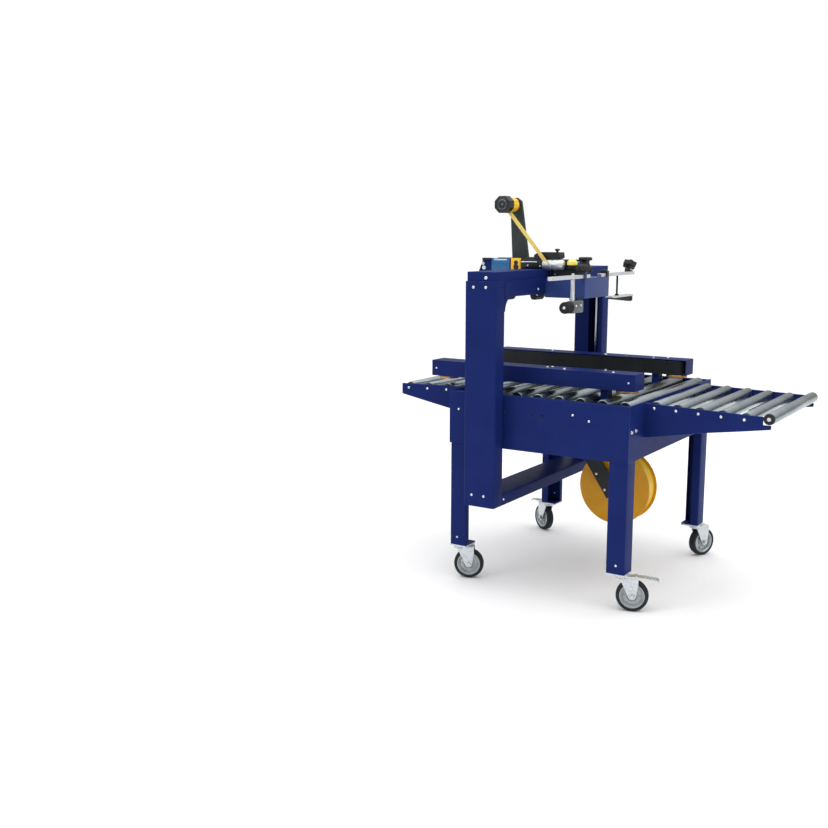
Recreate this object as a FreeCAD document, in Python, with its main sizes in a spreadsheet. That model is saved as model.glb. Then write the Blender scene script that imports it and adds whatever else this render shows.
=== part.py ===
import FreeCAD, Part, Sketcher
import os
import re
import sys

# Semi-automatic carton sealer: a roller bed on four casters, a portal that rides up and down
# round the bed with the upper tape head, two side belt units, and a lower tape head.
# Millimetres. +X is the way a carton travels, +Z is up, the floor is Z = 0 and the middle of
# the machine's box is X = Y = 0. Expressions below are written from the middle of the bed.

DIMENSIONS = {
    # bed
    "bed_x": -60, "bed_half": 312, "side_y": 370, "sheet": 3, "bed_low": 466, "bed_high": 638.5,
    "end_low": 467, "end_high": 640, "top_flange": 22, "bottom_flange": 22,
    "end_lip": 20, "rail_hole_z": 585, "rail_hole_r": 4.25,
    # legs and casters
    "leg_wide": 60, "leg_deep": 64, "leg_lip": 20, "leg_low": 120, "leg_high": 600, "foot_thick": 4,
    "wheel_r": 50, "wheel_half": 14, "wheel_pin": 4, "trail": 32, "caster_x": 291, "stud_r": 6, "fit": 0.05,
    "plate_thick": 5, "crown_z": 103.5, "fork_gap": 0.3, "cheek": 15.5, "cheek_out": 18.5,
    "pedal_x": 42, "pedal_z": 109, "pedal_pin": 3, "pedal_reach": 112, "pedal_half": 14,
    # rollers
    "roll_r": 19, "roll_half": 330, "roll_z": 628, "wing_roll_r": 17, "wing_roll_half": 239,
    "axle_r": 5, "roll_wall": 1.5, "roll_cap": 12, "split_gap": 62,
    # wings
    "wing_y": 251, "out_tip": 690, "in_tip": 581, "tip_x": 684, "tip_z": 621,
    "tip_half": 246, "tip_cap": 8,
    # portal
    "column_left": -220.5, "column_right": -109.1, "column_y": 431.4, "column_in": 373,
    "portal_low": 281, "column_top": 998, "cap_top": 1027, "cap_inset": 4, "beam_low": 948,
    "lower_beam_top": 318, "slot_left": -164, "slot_right": -123,
    "rod_x": -143.5, "rod_y": 402, "rod_r": 8, "bush_low": 500, "bush_high": 620,
    # head box and upper head
    "box_right": 33, "box_y": 97, "box_low": 935, "box_top": 1000,
    "head_y": 60, "head_left": -387, "head_top": 1057, "saddle_gap": 0.3,
    "strap_low": 992, "knob_x": -12, "knob_r": 26, "knob_low": 1022, "knob_top": 1068,
    # tape arms
    "arm_reach": 94.3, "arm_half": 10, "arm_roll_r": 14, "arm_roll_half": 26, "arm_in": 28,
    "arm_out": 31, "arm_pin": 4, "upper_pivot_z": 1010, "upper_apply_x": -350,
    "upper_wipe_x": -92, "lower_pivot_z": 560, "lower_apply_x": -245, "lower_wipe_x": -75,
    # mast and drum
    "hub_x": -308, "hub_z": 1243, "drum_r": 24, "drum_cap_r": 31, "spindle_r": 8,
    # hold-down arms
    "bar_left": 12, "bar_right": 28, "bar_low": 1000.3, "bar_high": 1012, "bar_in": 45,
    "bar_out": 340, "stem_front": 162, "stem_rear": 198, "shoe_low": 892, "gusset": 45,
    # side belt units
    "unit_left": -450, "unit_right": 282, "unit_in": 185, "unit_out": 265, "unit_low": 668,
    "unit_high": 720, "unit_sheet": 2, "drum_y": 218, "belt_in": 30, "belt_thick": 3,
    "belt_low": 669, "belt_high": 716,
    "flange_r": 35, "flange_low": 657, "drive_x": 240, "idler_x": -408, "guide_r": 8,
    "guide_z": 610, "guide_a": -281, "guide_b": 170.5,
    # lower head and tape reel
    "low_head_left": -262, "low_head_right": 28, "low_head_low": 500, "low_head_high": 634,
    "low_head_y": 55, "reel_x": 130, "reel_z": 305, "reel_r": 124, "reel_half": 36,
    "core_r": 38, "reel_pin": 12, "bracket_y": 47,
}

FULL_ROLLERS = (61, 134, 207, 280)
SPLIT_ROLLERS = (-231, -158, -85, -12)
OUTFEED_ROLLERS = (343, 411, 479, 547, 615)
INFEED_ROLLERS = (-551, -474, -397)
# name: sign of X, sign of Y, turn of the fork about its stud in degrees, has a brake pedal
CASTERS = {
    "front_left": (-1, -1, 24, False),
    "front_right": (1, -1, 20, True),
    "rear_left": (-1, 1, 149, True),
    "rear_right": (1, 1, 62, False),
}

doc = FreeCAD.newDocument("carton_sealer")
sheet = doc.addObject("Spreadsheet::Sheet", "dims")
for row, (alias, value) in enumerate(DIMENSIONS.items(), start=1):
    sheet.set(f"A{row}", alias)
    sheet.set(f"B{row}", str(value))
    sheet.setAlias(f"B{row}", alias)
doc.recompute()

nodes = []


def bind(obj, prop, text):
    """Drive one property by an expression whose words are the sheet's aliases."""
    words = re.sub(r"[a-z][a-z_]*", lambda found: "dims." + found.group(0), str(text))
    obj.setExpression(prop, words)


def place(obj, x, y, z):
    for axis, text in zip("xyz", (x, y, z)):
        bind(obj, f"Placement.Base.{axis}", text)


def block(x0, x1, y0, y1, z0, z1):
    """A box between two corners."""
    box = doc.addObject("Part::Box", "block")
    for prop, low, high in (("Length", x0, x1), ("Width", y0, y1), ("Height", z0, z1)):
        bind(box, prop, f"({high}) - ({low})")
    place(box, x0, y0, z0)
    return box


def rod(axis, radius, x, y, z, length):
    """A cylinder that starts at a point and runs along +X, +Y or +Z."""
    turns = {"X": (FreeCAD.Vector(0, 1, 0), 90), "Y": (FreeCAD.Vector(1, 0, 0), -90),
             "Z": (FreeCAD.Vector(0, 0, 1), 0)}
    cylinder = doc.addObject("Part::Cylinder", "rod")
    cylinder.Placement = FreeCAD.Placement(FreeCAD.Vector(), FreeCAD.Rotation(*turns[axis]))
    bind(cylinder, "Radius", radius)
    bind(cylinder, "Height", length)
    place(cylinder, x, y, z)
    return cylinder


def cross_rod(radius, x, z, half):
    """A cylinder along Y, centred on Y = 0."""
    return rod("Y", radius, x, f"-({half})", z, f"2 * ({half})")


def fuse(*shapes):
    joined = doc.addObject("Part::MultiFuse", "joined")
    joined.Shapes = list(shapes)
    return joined


def cut(base, *tools):
    result = doc.addObject("Part::Cut", "cut")
    result.Base = base
    result.Tool = tools[0] if len(tools) == 1 else fuse(*tools)
    return result


def group(*solids):
    together = doc.addObject("Part::Compound", "group")
    together.Links = list(solids)
    return together


def panel(outline, y_high, thick):
    """A flat plate cut to an X-Z outline, its faces at y_high and y_high - thick."""
    body = doc.addObject("PartDesign::Body", "panel")
    sketch = body.newObject("Sketcher::SketchObject", "outline")
    plane = [f for f in body.Origin.OriginFeatures if f.Role == "XZ_Plane"][0]
    sketch.AttachmentSupport = [(plane, "")]
    sketch.MapMode = "FlatFace"
    count = len(outline)
    spread = Part.makeCircle(100).discretize(count + 1)
    for i in range(count):
        sketch.addGeometry(Part.LineSegment(spread[i], spread[i + 1]), False)
    for i, (x, z) in enumerate(outline):
        sketch.addConstraint(Sketcher.Constraint("Coincident", i, 2, (i + 1) % count, 1))
        for kind, text in (("DistanceX", x), ("DistanceY", z)):
            number = sketch.addConstraint(Sketcher.Constraint(kind, -1, 1, i, 1, 1.0 + i))
            sketch.renameConstraint(number, f"{kind}{i}")
            bind(sketch, f"Constraints.{kind}{i}", text)
    pad = body.newObject("PartDesign::Pad", "pad")
    pad.Profile = sketch
    bind(pad, "Length", thick)
    bind(body, "Placement.Base.y", y_high)
    return body


def across(side, near, far):
    """The low and high Y of something between two distances from the middle, on one side."""
    return (near, far) if side > 0 else (f"-({far})", f"-({near})")


def settle(obj, label, x="0", y="0", z="0", turn=None):
    """Name a finished sub-part and give it its place in the machine's frame."""
    obj.Label = label
    if turn is not None:
        axis, angle = turn
        obj.Placement = FreeCAD.Placement(FreeCAD.Vector(), FreeCAD.Rotation(axis, angle))
    place(obj, f"bed_x + ({x})", y, z)
    nodes.append(obj)
    return obj


# ---------------------------------------------------------------- bed, legs and wings

def bed_side(side):
    """One long side: a sheet folded inwards at the top and at the bottom."""
    web = block("-bed_half", "bed_half", *across(side, "side_y - sheet", "side_y"),
                "bed_low", "bed_high")
    top = block("-bed_half + sheet", "bed_half - sheet",
                *across(side, "side_y - top_flange", "side_y - sheet"),
                "bed_high - sheet", "bed_high")
    bottom = block("-bed_half + leg_wide + 5", "bed_half - leg_wide - 5",
                   *across(side, "side_y - bottom_flange", "side_y - sheet"),
                   "bed_low", "bed_low + sheet")
    folded = fuse(web, top, bottom)
    if side > 0:
        return folded
    holes = [rod("Y", "rail_hole_r", x, "-side_y - 1", "rail_hole_z", "sheet + 2")
             for x in (-103, -10, 24)]
    return cut(folded, *holes)


def bed_end(side):
    """The panel that closes one end of the bed, with a stiffening lip along its bottom."""
    wall = block(*across(side, "bed_half - sheet", "bed_half"), "-side_y + sheet",
                 "side_y - sheet", "end_low", "end_high")
    lip = block(*across(side, "bed_half - end_lip", "bed_half - sheet"),
                "-side_y + leg_deep + 4", "side_y - leg_deep - 4", "end_low", "end_low + sheet")
    return fuse(wall, lip)


def leg(side_x, side_y):
    """A folded corner section with a foot plate, open towards the bed's middle.

    Its two plain faces end in short lips.
    """
    outer_x, outer_y = "bed_half - sheet", "side_y - sheet"
    tube = block(*across(side_x, f"{outer_x} - leg_wide", outer_x),
                 *across(side_y, f"{outer_y} - leg_deep", outer_y), "leg_low", "leg_high")
    hollow = block(*across(side_x, f"{outer_x} - leg_wide + sheet", f"{outer_x} - sheet"),
                   *across(side_y, f"{outer_y} - leg_deep + sheet", f"{outer_y} - sheet"),
                   "leg_low + foot_thick", "leg_high + 1")
    open_corner = block(*across(side_x, f"{outer_x} - leg_wide - 1", f"{outer_x} - leg_lip - 6"),
                        *across(side_y, f"{outer_y} - leg_deep - 1", f"{outer_y} - leg_lip"),
                        "leg_low + foot_thick", "leg_high + 1")
    return cut(tube, hollow, open_corner)


def wing_side(side, outline, root_x, lip):
    """One tapered side plate of a wing with the ear that bolts to the end panel."""
    plate = panel(outline, across(side, "wing_y - sheet", "wing_y")[1], "sheet")
    ear = block(*ear_span(root_x, lip), *across(side, "wing_y - 24", "wing_y - sheet"),
                "bed_high - 78", "bed_high - 6")
    return fuse(plate, ear)


def ear_span(root_x, lip):
    """The ear's X span: outwards from the end panel, whichever end that is."""
    return (root_x, f"{root_x} + {lip}") if lip > 0 else (f"{root_x} - {-lip}", root_x)


settle(group(bed_side(-1), bed_side(1)), "bed_side_plates")
settle(group(bed_end(-1), bed_end(1)), "bed_end_panels")
settle(group(*[leg(sx, sy) for sx in (-1, 1) for sy in (-1, 1)]), "legs")

OUTFEED_OUTLINE = (("bed_half", 636), (667, 627), (667, 603), ("out_tip", 603),
                   ("out_tip", 591), (600, 577), (485, 560), (400, 544),
                   ("bed_half + 8", 530), ("bed_half", 530))
INFEED_OUTLINE = (("-bed_half", 636), ("-bed_half", 545), ("-bed_half - 8", 545),
                  (-450, 568), ("-in_tip", 592), ("-in_tip", 629))
settle(group(*[wing_side(side, outline, root_x, lip) for side in (-1, 1)
               for outline, root_x, lip in ((OUTFEED_OUTLINE, "bed_half", 3),
                                            (INFEED_OUTLINE, "-bed_half", -3))]),
       "wing_plates")


# ---------------------------------------------------------------- rollers

def wing_z(x):
    """The height of a wing roller: the wings fall away gently from the bed."""
    return f"roll_z - 2 - 0.033 * ({abs(x)} - bed_half)"


def roller(radius, x, z, y_low, y_high):
    """A thin tube with a bearing plug in each end, bored for its axle."""
    length = f"({y_high}) - ({y_low})"
    tube = rod("Y", radius, x, y_low, z, length)
    hollow = rod("Y", f"{radius} - roll_wall", x, f"({y_low}) + roll_cap", z,
                 f"{length} - 2 * roll_cap")
    bore = rod("Y", "axle_r + fit", x, f"({y_low}) - 1", z, f"{length} + 2")
    return cut(tube, hollow, bore)


axles = []
for number, x in enumerate(FULL_ROLLERS, start=1):
    settle(roller("roll_r", x, "roll_z", "-roll_half", "roll_half"), f"bed_roller_{number}")
    axles.append(cross_rod("axle_r", x, "roll_z", "side_y - sheet"))
for number, x in enumerate(SPLIT_ROLLERS, start=1):
    pair = [roller("roll_r", x, "roll_z", *across(side, "split_gap", "roll_half"))
            for side in (-1, 1)]
    settle(group(*pair), f"split_roller_{number}")
    for side in (-1, 1):
        low, high = across(side, "low_head_y", "side_y - sheet")
        axles.append(rod("Y", "axle_r", x, low, "roll_z", f"({high}) - ({low})"))
for wing, places in (("outfeed", OUTFEED_ROLLERS), ("infeed", INFEED_ROLLERS)):
    for number, x in enumerate(places, start=1):
        settle(roller("wing_roll_r", x, wing_z(x), "-wing_roll_half", "wing_roll_half"),
               f"{wing}_roller_{number}")
        axles.append(cross_rod("axle_r", x, wing_z(x), "wing_y - sheet"))
settle(roller("wing_roll_r", "tip_x", "tip_z", "-tip_half", "tip_half"), "tip_roller")
tip_caps = [rod("Y", "wing_roll_r - 0.5", "tip_x", across(side, "tip_half + 0.5",
                "tip_half + 0.5 + tip_cap")[0], "tip_z", "tip_cap") for side in (-1, 1)]
axles.append(fuse(cross_rod("axle_r", "tip_x", "tip_z", "tip_half + tip_cap"), *tip_caps))
settle(group(*axles), "roller_axles")


# ---------------------------------------------------------------- casters

def caster_plate(side_x, side_y):
    """The top plate under one leg, with the stud that the fork swivels on."""
    x = f"{side_x} * (bed_half - sheet - leg_wide / 2)"
    y = f"{side_y} * (side_y - sheet - leg_deep / 2)"
    plate = block(f"{x} - leg_wide / 2", f"{x} + leg_wide / 2", f"{y} - leg_deep / 2",
                  f"{y} + leg_deep / 2", "leg_low - plate_thick", "leg_low")
    stud = rod("Z", "stud_r", f"{side_x} * caster_x", y, "crown_z - 0.5",
               "leg_low - crown_z - 2")
    return fuse(plate, stud)


def fork(braked):
    """A pressed fork about its stud, trailing along +X, with the wheel's axle pin."""
    top = "leg_low - plate_thick - fork_gap"
    outline = ((-16, top), (50, top), (50, 62), ("trail + 11", 48), ("trail", 39),
               ("trail - 11", 48), (10, 76), (-16, "crown_z"))
    crown = block(-16, 24, "-cheek_out", "cheek_out", "crown_z", top)
    race = rod("Z", 23, 0, 0, "crown_z + 2", "leg_low - plate_thick - fork_gap - crown_z - 2")
    cheeks = [panel(outline, high, "cheek_out - cheek") for high in ("cheek_out", "-cheek")]
    pieces = [crown, race, *cheeks, cross_rod("wheel_pin", "trail", "wheel_r", "cheek_out")]
    if braked:
        pieces.append(cross_rod("pedal_pin", "pedal_x", "pedal_z", "cheek_out"))
    return cut(fuse(*pieces), rod("Z", "stud_r + fit", 0, 0, "crown_z - 1", 20))


def wheel():
    """Hub and tyre as one turned piece with a recess in each side."""
    tyre = cross_rod("wheel_r", "trail", "wheel_r", "wheel_half")
    recesses = [rod("Y", "wheel_r - 12", "trail", y, "wheel_r", 4.5)
                for y in ("-wheel_half - 1", "wheel_half - 3.5")]
    boss = cross_rod(11, "trail", "wheel_r", "wheel_half")
    bore = cross_rod("wheel_pin + fit", "trail", "wheel_r", "wheel_half + 1")
    return cut(fuse(cut(tyre, *recesses), boss), bore)


def pedal():
    """The brake pedal: a sleeve on its pin, and a pressed tongue to step on."""
    sleeve = cross_rod("pedal_pin + 2.5", "pedal_x", "pedal_z", "pedal_half")
    tongue = block("pedal_x", "pedal_reach", "-pedal_half", "pedal_half",
                   "pedal_z - 1", "pedal_z + 2")
    lip = block("pedal_reach - 3", "pedal_reach", "-pedal_half", "pedal_half",
                "pedal_z - 8", "pedal_z + 2")
    return cut(fuse(sleeve, tongue, lip),
               cross_rod("pedal_pin + fit", "pedal_x", "pedal_z", "pedal_half + 1"))


settle(group(*[caster_plate(sx, sy) for sx in (-1, 1) for sy in (-1, 1)]), "caster_plates")
for corner, (side_x, side_y, yaw, braked) in CASTERS.items():
    pieces = {"caster_fork": fork(braked), "caster_wheel": wheel()}
    if braked:
        pieces["brake_pedal"] = pedal()
    for name, piece in pieces.items():
        settle(piece, f"{name}_{corner}",
               f"{side_x} * caster_x", f"{side_y} * (side_y - sheet - leg_deep / 2)",
               turn=(FreeCAD.Vector(0, 0, 1), yaw))


# ---------------------------------------------------------------- portal

def column(side):
    """A folded channel with return lips, open towards the bed along a slot."""
    shell = block("column_left", "column_right", *across(side, "column_in", "column_y"),
                  "portal_low", "column_top")
    hollow = block("column_left + sheet", "column_right - sheet",
                   *across(side, "column_in + sheet", "column_y - sheet"),
                   "portal_low + sheet", "column_top + 1")
    slot = block("slot_left", "slot_right", *across(side, "column_in - 1", "column_in + 4"),
                 "portal_low + sheet", "column_top + 1")
    return cut(shell, hollow, slot)


def bushing(side):
    """The block on the bed's side that the portal's rod slides in."""
    arm = block("rod_x - 14", "rod_x + 14", *across(side, "side_y", "rod_y + 13"),
                "bush_low", "bush_high")
    return cut(arm, rod("Z", "rod_r + fit", "rod_x", f"{side} * rod_y", "bush_low - 1",
                        "bush_high - bush_low + 2"))


def lower_beam():
    outer = block("column_left", "column_right", "-column_in", "column_in", "portal_low",
                  "lower_beam_top")
    inner = block("column_left + sheet", "column_right - sheet", "-column_in - 1",
                  "column_in + 1", "portal_low - 1", "lower_beam_top - sheet")
    return cut(outer, inner)


def crossbeam():
    """The box beam between the columns, its corner gussets and the cap over the columns."""
    beam = block("column_left", "column_right", "-column_in", "column_in", "beam_low",
                 "column_top")
    beam_hollow = block("column_left + sheet", "column_right - sheet", "-column_in - 1",
                        "column_in + 1", "beam_low + sheet", "column_top - sheet")
    cap = block("column_left + cap_inset", "column_right - cap_inset",
                "-column_y + cap_inset", "column_y - cap_inset", "column_top", "cap_top")
    cap_hollow = block("column_left + cap_inset + sheet", "column_right - cap_inset - sheet",
                       "-column_y + cap_inset + sheet", "column_y - cap_inset - sheet",
                       "column_top - 1", "cap_top - sheet")
    gussets = []
    for side in (-1, 1):
        for x in ("column_left", "column_right - sheet"):
            corner = block(x, f"{x} + sheet", *across(side, "column_in - gusset", "column_in"),
                           "beam_low - gusset", "beam_low + 1")
            round_off = rod("X", "gusset", f"{x} - 1", f"{side} * (column_in - gusset)",
                            "beam_low - gusset", "sheet + 2")
            gussets.append(cut(corner, round_off))
    return fuse(cut(beam, beam_hollow), cut(cap, cap_hollow), *gussets)


def head_box():
    """The open-bottomed box that carries the outfeed half of the upper head."""
    shell = block("column_right", "box_right", "-box_y", "box_y", "box_low", "box_top")
    hollow = block("column_right + sheet", "box_right - sheet", "-box_y + sheet",
                   "box_y - sheet", "box_low - 1", "box_top - sheet")
    window = block("column_right + sheet", "box_right - sheet", "-head_y - 2", "head_y + 2",
                   "box_low - 1", "box_top + 1")
    strap = block("knob_x - 11.5", "box_right - sheet", "-head_y", "head_y", "strap_low",
                  "box_top")
    ties = [block("bar_right - 2", "box_right - 1", *across(side, "head_y - 4", "box_y - 2"),
                  "box_top - 2", "box_top") for side in (-1, 1)]
    stud = rod("Z", "axle_r", "knob_x", 0, "strap_low", "knob_low - strap_low + 26")
    guides = []
    for side in (-1, 1):
        y_span = across(side, "box_y - 15", "box_y")
        bridge = block("bar_left - 4", "bar_right + 4", *y_span, "box_top", "bar_high + 5")
        tunnel = block("bar_left - 0.3", "bar_right + 0.3",
                       *across(side, "box_y - 16", "box_y + 1"), "box_top",
                       "bar_high + 0.3")
        guides.append(cut(bridge, tunnel))
    return fuse(cut(shell, hollow, window), strap, *ties, stud, *guides)


def upper_head_frame():
    """Two side plates that straddle the crossbeam, joined by the pivot rods and spacers."""
    left, right = "column_left - saddle_gap", "column_right + sheet + saddle_gap"
    saddle, low = "cap_top + saddle_gap", "box_low + 3"
    outline = (("head_left + 16", "head_top"), ("knob_x - 30", "head_top"),
               ("knob_x - 30", "strap_low - 1"), ("box_right - 4.5", "strap_low - 1"),
               ("box_right - 4.5", low), (right, low), (right, saddle), (left, saddle), (left, low), ("head_left + 9", low),
               ("head_left", "head_top - 41"))
    plates = [panel(outline, high, "sheet") for high in ("head_y", "-head_y + sheet")]
    pivots = [cross_rod("axle_r", x, "upper_pivot_z", "head_y - sheet")
              for x in ("upper_apply_x", "upper_wipe_x")]
    spacers = [cross_rod("axle_r + 1", x, z, "head_y - sheet")
               for x, z in ((-370, 1042), (-232, 1045), (-62, 1045), (-70, 1024))]
    return fuse(*plates, *pivots, *spacers)


def tape_mast():
    """The arm that holds the tape drum above the head, with the drum's spindle."""
    outline = ((-311, 1030), (-246, 1030), (-276, 1225), (-281, 1256), (-298, 1268),
               (-320, 1265), (-330, 1246), (-322, 1222))
    arm = panel(outline, "head_y - sheet", 12)
    spindle = rod("Y", "spindle_r", "hub_x", -38, "hub_z", "head_y - sheet + 32")
    return fuse(arm, spindle)


def tape_drum():
    """The drum that the upper tape turns on, with its retaining cap."""
    drum = rod("Y", "drum_r", "hub_x", -14, "hub_z", 54)
    neck = rod("Y", "drum_r - 4", "hub_x", -18, "hub_z", 5)
    cap = rod("Y", "drum_cap_r", "hub_x", -44, "hub_z", 27)
    return cut(fuse(drum, neck, cap), rod("Y", "spindle_r + fit", "hub_x", -39, "hub_z", 80))


def clamp_knob():
    """The lobed hand knob on the stud above the head box."""
    grip = rod("Z", "knob_r - 4", "knob_x", 0, "knob_low + 8", "knob_top - knob_low - 8")
    lobes = []
    for turn in range(6):
        spoke = rod("Z", 8, "knob_r - 8", 0, 0, "knob_top - knob_low - 18")
        lobe = group(spoke)
        lobe.Placement = FreeCAD.Placement(
            FreeCAD.Vector(), FreeCAD.Rotation(FreeCAD.Vector(0, 0, 1), 60 * turn))
        place(lobe, "knob_x", 0, "knob_low + 18")
        lobes.append(lobe)
    hub = rod("Z", "axle_r + 6", "knob_x", 0, "knob_low - 6", 20)
    bore = rod("Z", "axle_r + fit", "knob_x", 0, "knob_low - 7", 37)
    return cut(fuse(grip, hub, *lobes), bore)


def squeeze_arm(side, stem_y, shoe_in, shoe_out, low, high):
    """A hold-down arm: the sliding bar, its hanging stem and the shoe that rides the carton."""
    bar = block("bar_left", "bar_right", *across(side, "bar_in", "bar_out"), "bar_low",
                "bar_high")
    stem = block("bar_left + 2", "bar_right - 2", *across(side, f"{stem_y} - 8", f"{stem_y} + 8"),
                 f"{high} - 2", "bar_low + 2")
    shoe = block("bar_left - 8", "bar_right + 8", *across(side, shoe_in, shoe_out), low, high)
    return fuse(bar, stem, shoe)


settle(group(column(-1), column(1)), "portal_columns")
settle(lower_beam(), "portal_lower_beam")
settle(crossbeam(), "portal_crossbeam")
settle(head_box(), "head_box")
settle(group(*[rod("Z", "rod_r", "rod_x", f"{side} * rod_y", "portal_low + sheet",
                   "cap_top - portal_low - 2 * sheet") for side in (-1, 1)]), "lift_rods")
settle(group(bushing(-1), bushing(1)), "lift_bushings")
settle(upper_head_frame(), "upper_head_frame")
settle(tape_mast(), "tape_mast")
settle(tape_drum(), "tape_drum")
settle(clamp_knob(), "clamp_knob")
settle(squeeze_arm(-1, "stem_front", 104, 222, "shoe_low", "shoe_low + 38"),
       "squeeze_arm_front")
settle(squeeze_arm(1, "stem_rear", 133, 312, "shoe_low + 16", "shoe_low + 40"),
       "squeeze_arm_rear")


# ---------------------------------------------------------------- tape arms

def tape_arm():
    """A roller arm along +X from its pivot: sleeve, two cheeks, pin and rubber roller."""
    cheeks = [block(0, "arm_reach", *across(side, "arm_in", "arm_out"), "-arm_half",
                    "arm_half") for side in (-1, 1)]
    sleeve = cross_rod("arm_half", 0, 0, "arm_out")
    caps = [rod("Y", "arm_half", "arm_reach", across(side, "arm_in", "arm_out")[0], 0,
                "arm_out - arm_in") for side in (-1, 1)]
    pin = cross_rod("arm_pin", "arm_reach", 0, "arm_out")
    arm = cut(fuse(*cheeks, sleeve, *caps, pin), cross_rod("axle_r + fit", 0, 0, "arm_out + 1"))
    rubber = cut(cross_rod("arm_roll_r", "arm_reach", 0, "arm_roll_half"),
                 cross_rod("arm_pin + fit", "arm_reach", 0, "arm_roll_half + 1"))
    return group(arm, rubber)


ARM_SLOPE = 58
for head, slope in (("upper", ARM_SLOPE), ("lower", -ARM_SLOPE)):
    for job in ("apply", "wipe"):
        settle(tape_arm(), f"{head}_{job}_arm", f"{head}_{job}_x", "0", f"{head}_pivot_z",
               turn=(FreeCAD.Vector(0, 1, 0), slope))


# ---------------------------------------------------------------- side belt units

def unit_housing(side):
    """The belt's cover, open below and towards the carton, with what hangs inside the loop.

    A spine under the cover carries the drums' posts and the two feet that slide on the rods.
    """
    shell = block("unit_left", "unit_right", *across(side, "unit_in + 4", "unit_out"),
                  "unit_low", "unit_high")
    hollow = block("unit_left + unit_sheet", "unit_right - unit_sheet",
                   *across(side, "unit_in", "unit_out - unit_sheet"),
                   "unit_low - 1", "unit_high - unit_sheet")
    posts = [rod("Z", "guide_r", x, f"{side} * drum_y", "flange_low + 2",
                 "unit_high - flange_low - 3") for x in ("drive_x", "idler_x")]
    spine = block("idler_x + 44", "drive_x - 44", *across(side, "drum_y - 5", "drum_y + 5"),
                  "unit_low + 22", "unit_high - 1")
    feet = []
    for x in ("guide_a", "guide_b"):
        foot = block(f"{x} - 12", f"{x} + 12", *across(side, "drum_y - 18", "drum_y + 18"),
                     "guide_z - 12", "unit_high - 20")
        feet.append(cut(foot, rod("Y", "guide_r + fit", x, f"{side} * drum_y - 19",
                                  "guide_z", 38)))
    return fuse(cut(shell, hollow), spine, *posts, *feet)


def belt_loop(side, radius, low, high):
    """A stadium round both drums."""
    ends = [rod("Z", radius, x, f"{side} * drum_y", low, f"({high}) - ({low})")
            for x in ("drive_x", "idler_x")]
    middle = block("idler_x", "drive_x", f"{side} * drum_y - ({radius})",
                   f"{side} * drum_y + ({radius})", low, high)
    return fuse(*ends, middle)


def belt(side):
    return cut(belt_loop(side, "belt_in + belt_thick", "belt_low", "belt_high"),
               belt_loop(side, "belt_in", "belt_low - 1", "belt_high + 1"))


def belt_drum(side, x):
    """A drum inside the loop, with the flange below it that keeps the belt up."""
    barrel = rod("Z", "belt_in - 0.3", x, f"{side} * drum_y", "belt_low - 1.5",
                 "belt_high - belt_low + 1.5")
    flange = rod("Z", "flange_r", x, f"{side} * drum_y", "flange_low", "belt_low - flange_low - 1")
    return cut(fuse(barrel, flange), rod("Z", "guide_r + fit", x, f"{side} * drum_y",
                                         "flange_low - 1", "unit_high - flange_low"))


for place_name, side in (("front", -1), ("rear", 1)):
    settle(unit_housing(side), f"belt_housing_{place_name}")
    settle(belt(side), f"side_belt_{place_name}")
    settle(belt_drum(side, "drive_x"), f"drive_drum_{place_name}")
    settle(belt_drum(side, "idler_x"), f"idler_drum_{place_name}")
settle(group(*[cross_rod("guide_r", x, "guide_z", "side_y - sheet")
               for x in ("guide_a", "guide_b")]), "guide_rods")


# ---------------------------------------------------------------- lower head and tape reel

def lower_head_frame():
    """Side plates between the split rollers, cross rails to the bed and the reel bracket."""
    plates = [block("low_head_left", "low_head_right",
                    *across(side, "low_head_y - sheet", "low_head_y"),
                    "low_head_low", "low_head_high") for side in (-1, 1)]
    floor = block("low_head_left", "low_head_right", "-low_head_y + 1", "low_head_y - 1",
                  "low_head_low", "low_head_low + sheet")
    rails = [block(f"{x} - 10", f"{x} + 10", *across(side, "low_head_y - 1", "side_y - sheet"),
                   "low_head_low", "low_head_low + 30") for side in (-1, 1)
             for x in ("low_head_left + 24", "low_head_right - 10")]
    pivots = [cross_rod("axle_r", x, "lower_pivot_z", "low_head_y - 1")
              for x in ("lower_apply_x", "lower_wipe_x")]
    outline = ((-30, 540), (24, 540), (60, 430), (109, 365), (158, 322), (154, 285),
               (112, 268), (43, 372), (-30, 470))
    bracket = panel(outline, "-bracket_y", 6)
    spindle = rod("Y", "reel_pin", "reel_x", "-bracket_y - 1", "reel_z", "bracket_y + 40")
    return fuse(*plates, floor, *rails, *pivots, bracket, spindle)


def tape_reel():
    """A full roll of tape on its core, with the hub that turns on the spindle."""
    roll = cross_rod("reel_r", "reel_x", "reel_z", "reel_half")
    pockets = [rod("Y", "core_r - 3", "reel_x", y, "reel_z", 27)
               for y in ("-reel_half - 1", "reel_half - 26")]
    boss = cross_rod("reel_pin + 8", "reel_x", "reel_z", "reel_half")
    bore = cross_rod("reel_pin + fit", "reel_x", "reel_z", "reel_half + 1")
    return cut(fuse(cut(roll, *pockets), boss), bore)


settle(lower_head_frame(), "lower_head_frame")
settle(tape_reel(), "tape_reel")

# ---------------------------------------------------------------- check and write

doc.recompute()
for obj in doc.Objects:
    if "Invalid" in obj.State or "Error" in obj.State:
        sys.exit(f"{obj.Name} ({obj.Label}) failed: {obj.State}")
labels = [node.Label for node in nodes]
if len(set(labels)) != len(labels) or len(labels) > 60:
    sys.exit(f"{len(labels)} sub-parts, {len(set(labels))} different names")
for node in nodes:
    if node.Shape.isNull() or not node.Shape.isValid() or not node.Shape.Solids:
        sys.exit(f"{node.Label} has no valid solid")

os.makedirs("parts", exist_ok=True)
for node in nodes:
    node.Shape.exportStep(f"parts/{node.Label}.step")
print(f"{len(nodes)} sub-parts, {sum(len(node.Shape.Solids) for node in nodes)} solids")
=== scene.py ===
"""Looks of a side-belt carton sealer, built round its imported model.

A shape under way is in millimetres from the middle of the bed, with +X the way a carton
travels. A finished piece is in metres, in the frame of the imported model.
"""

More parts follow.
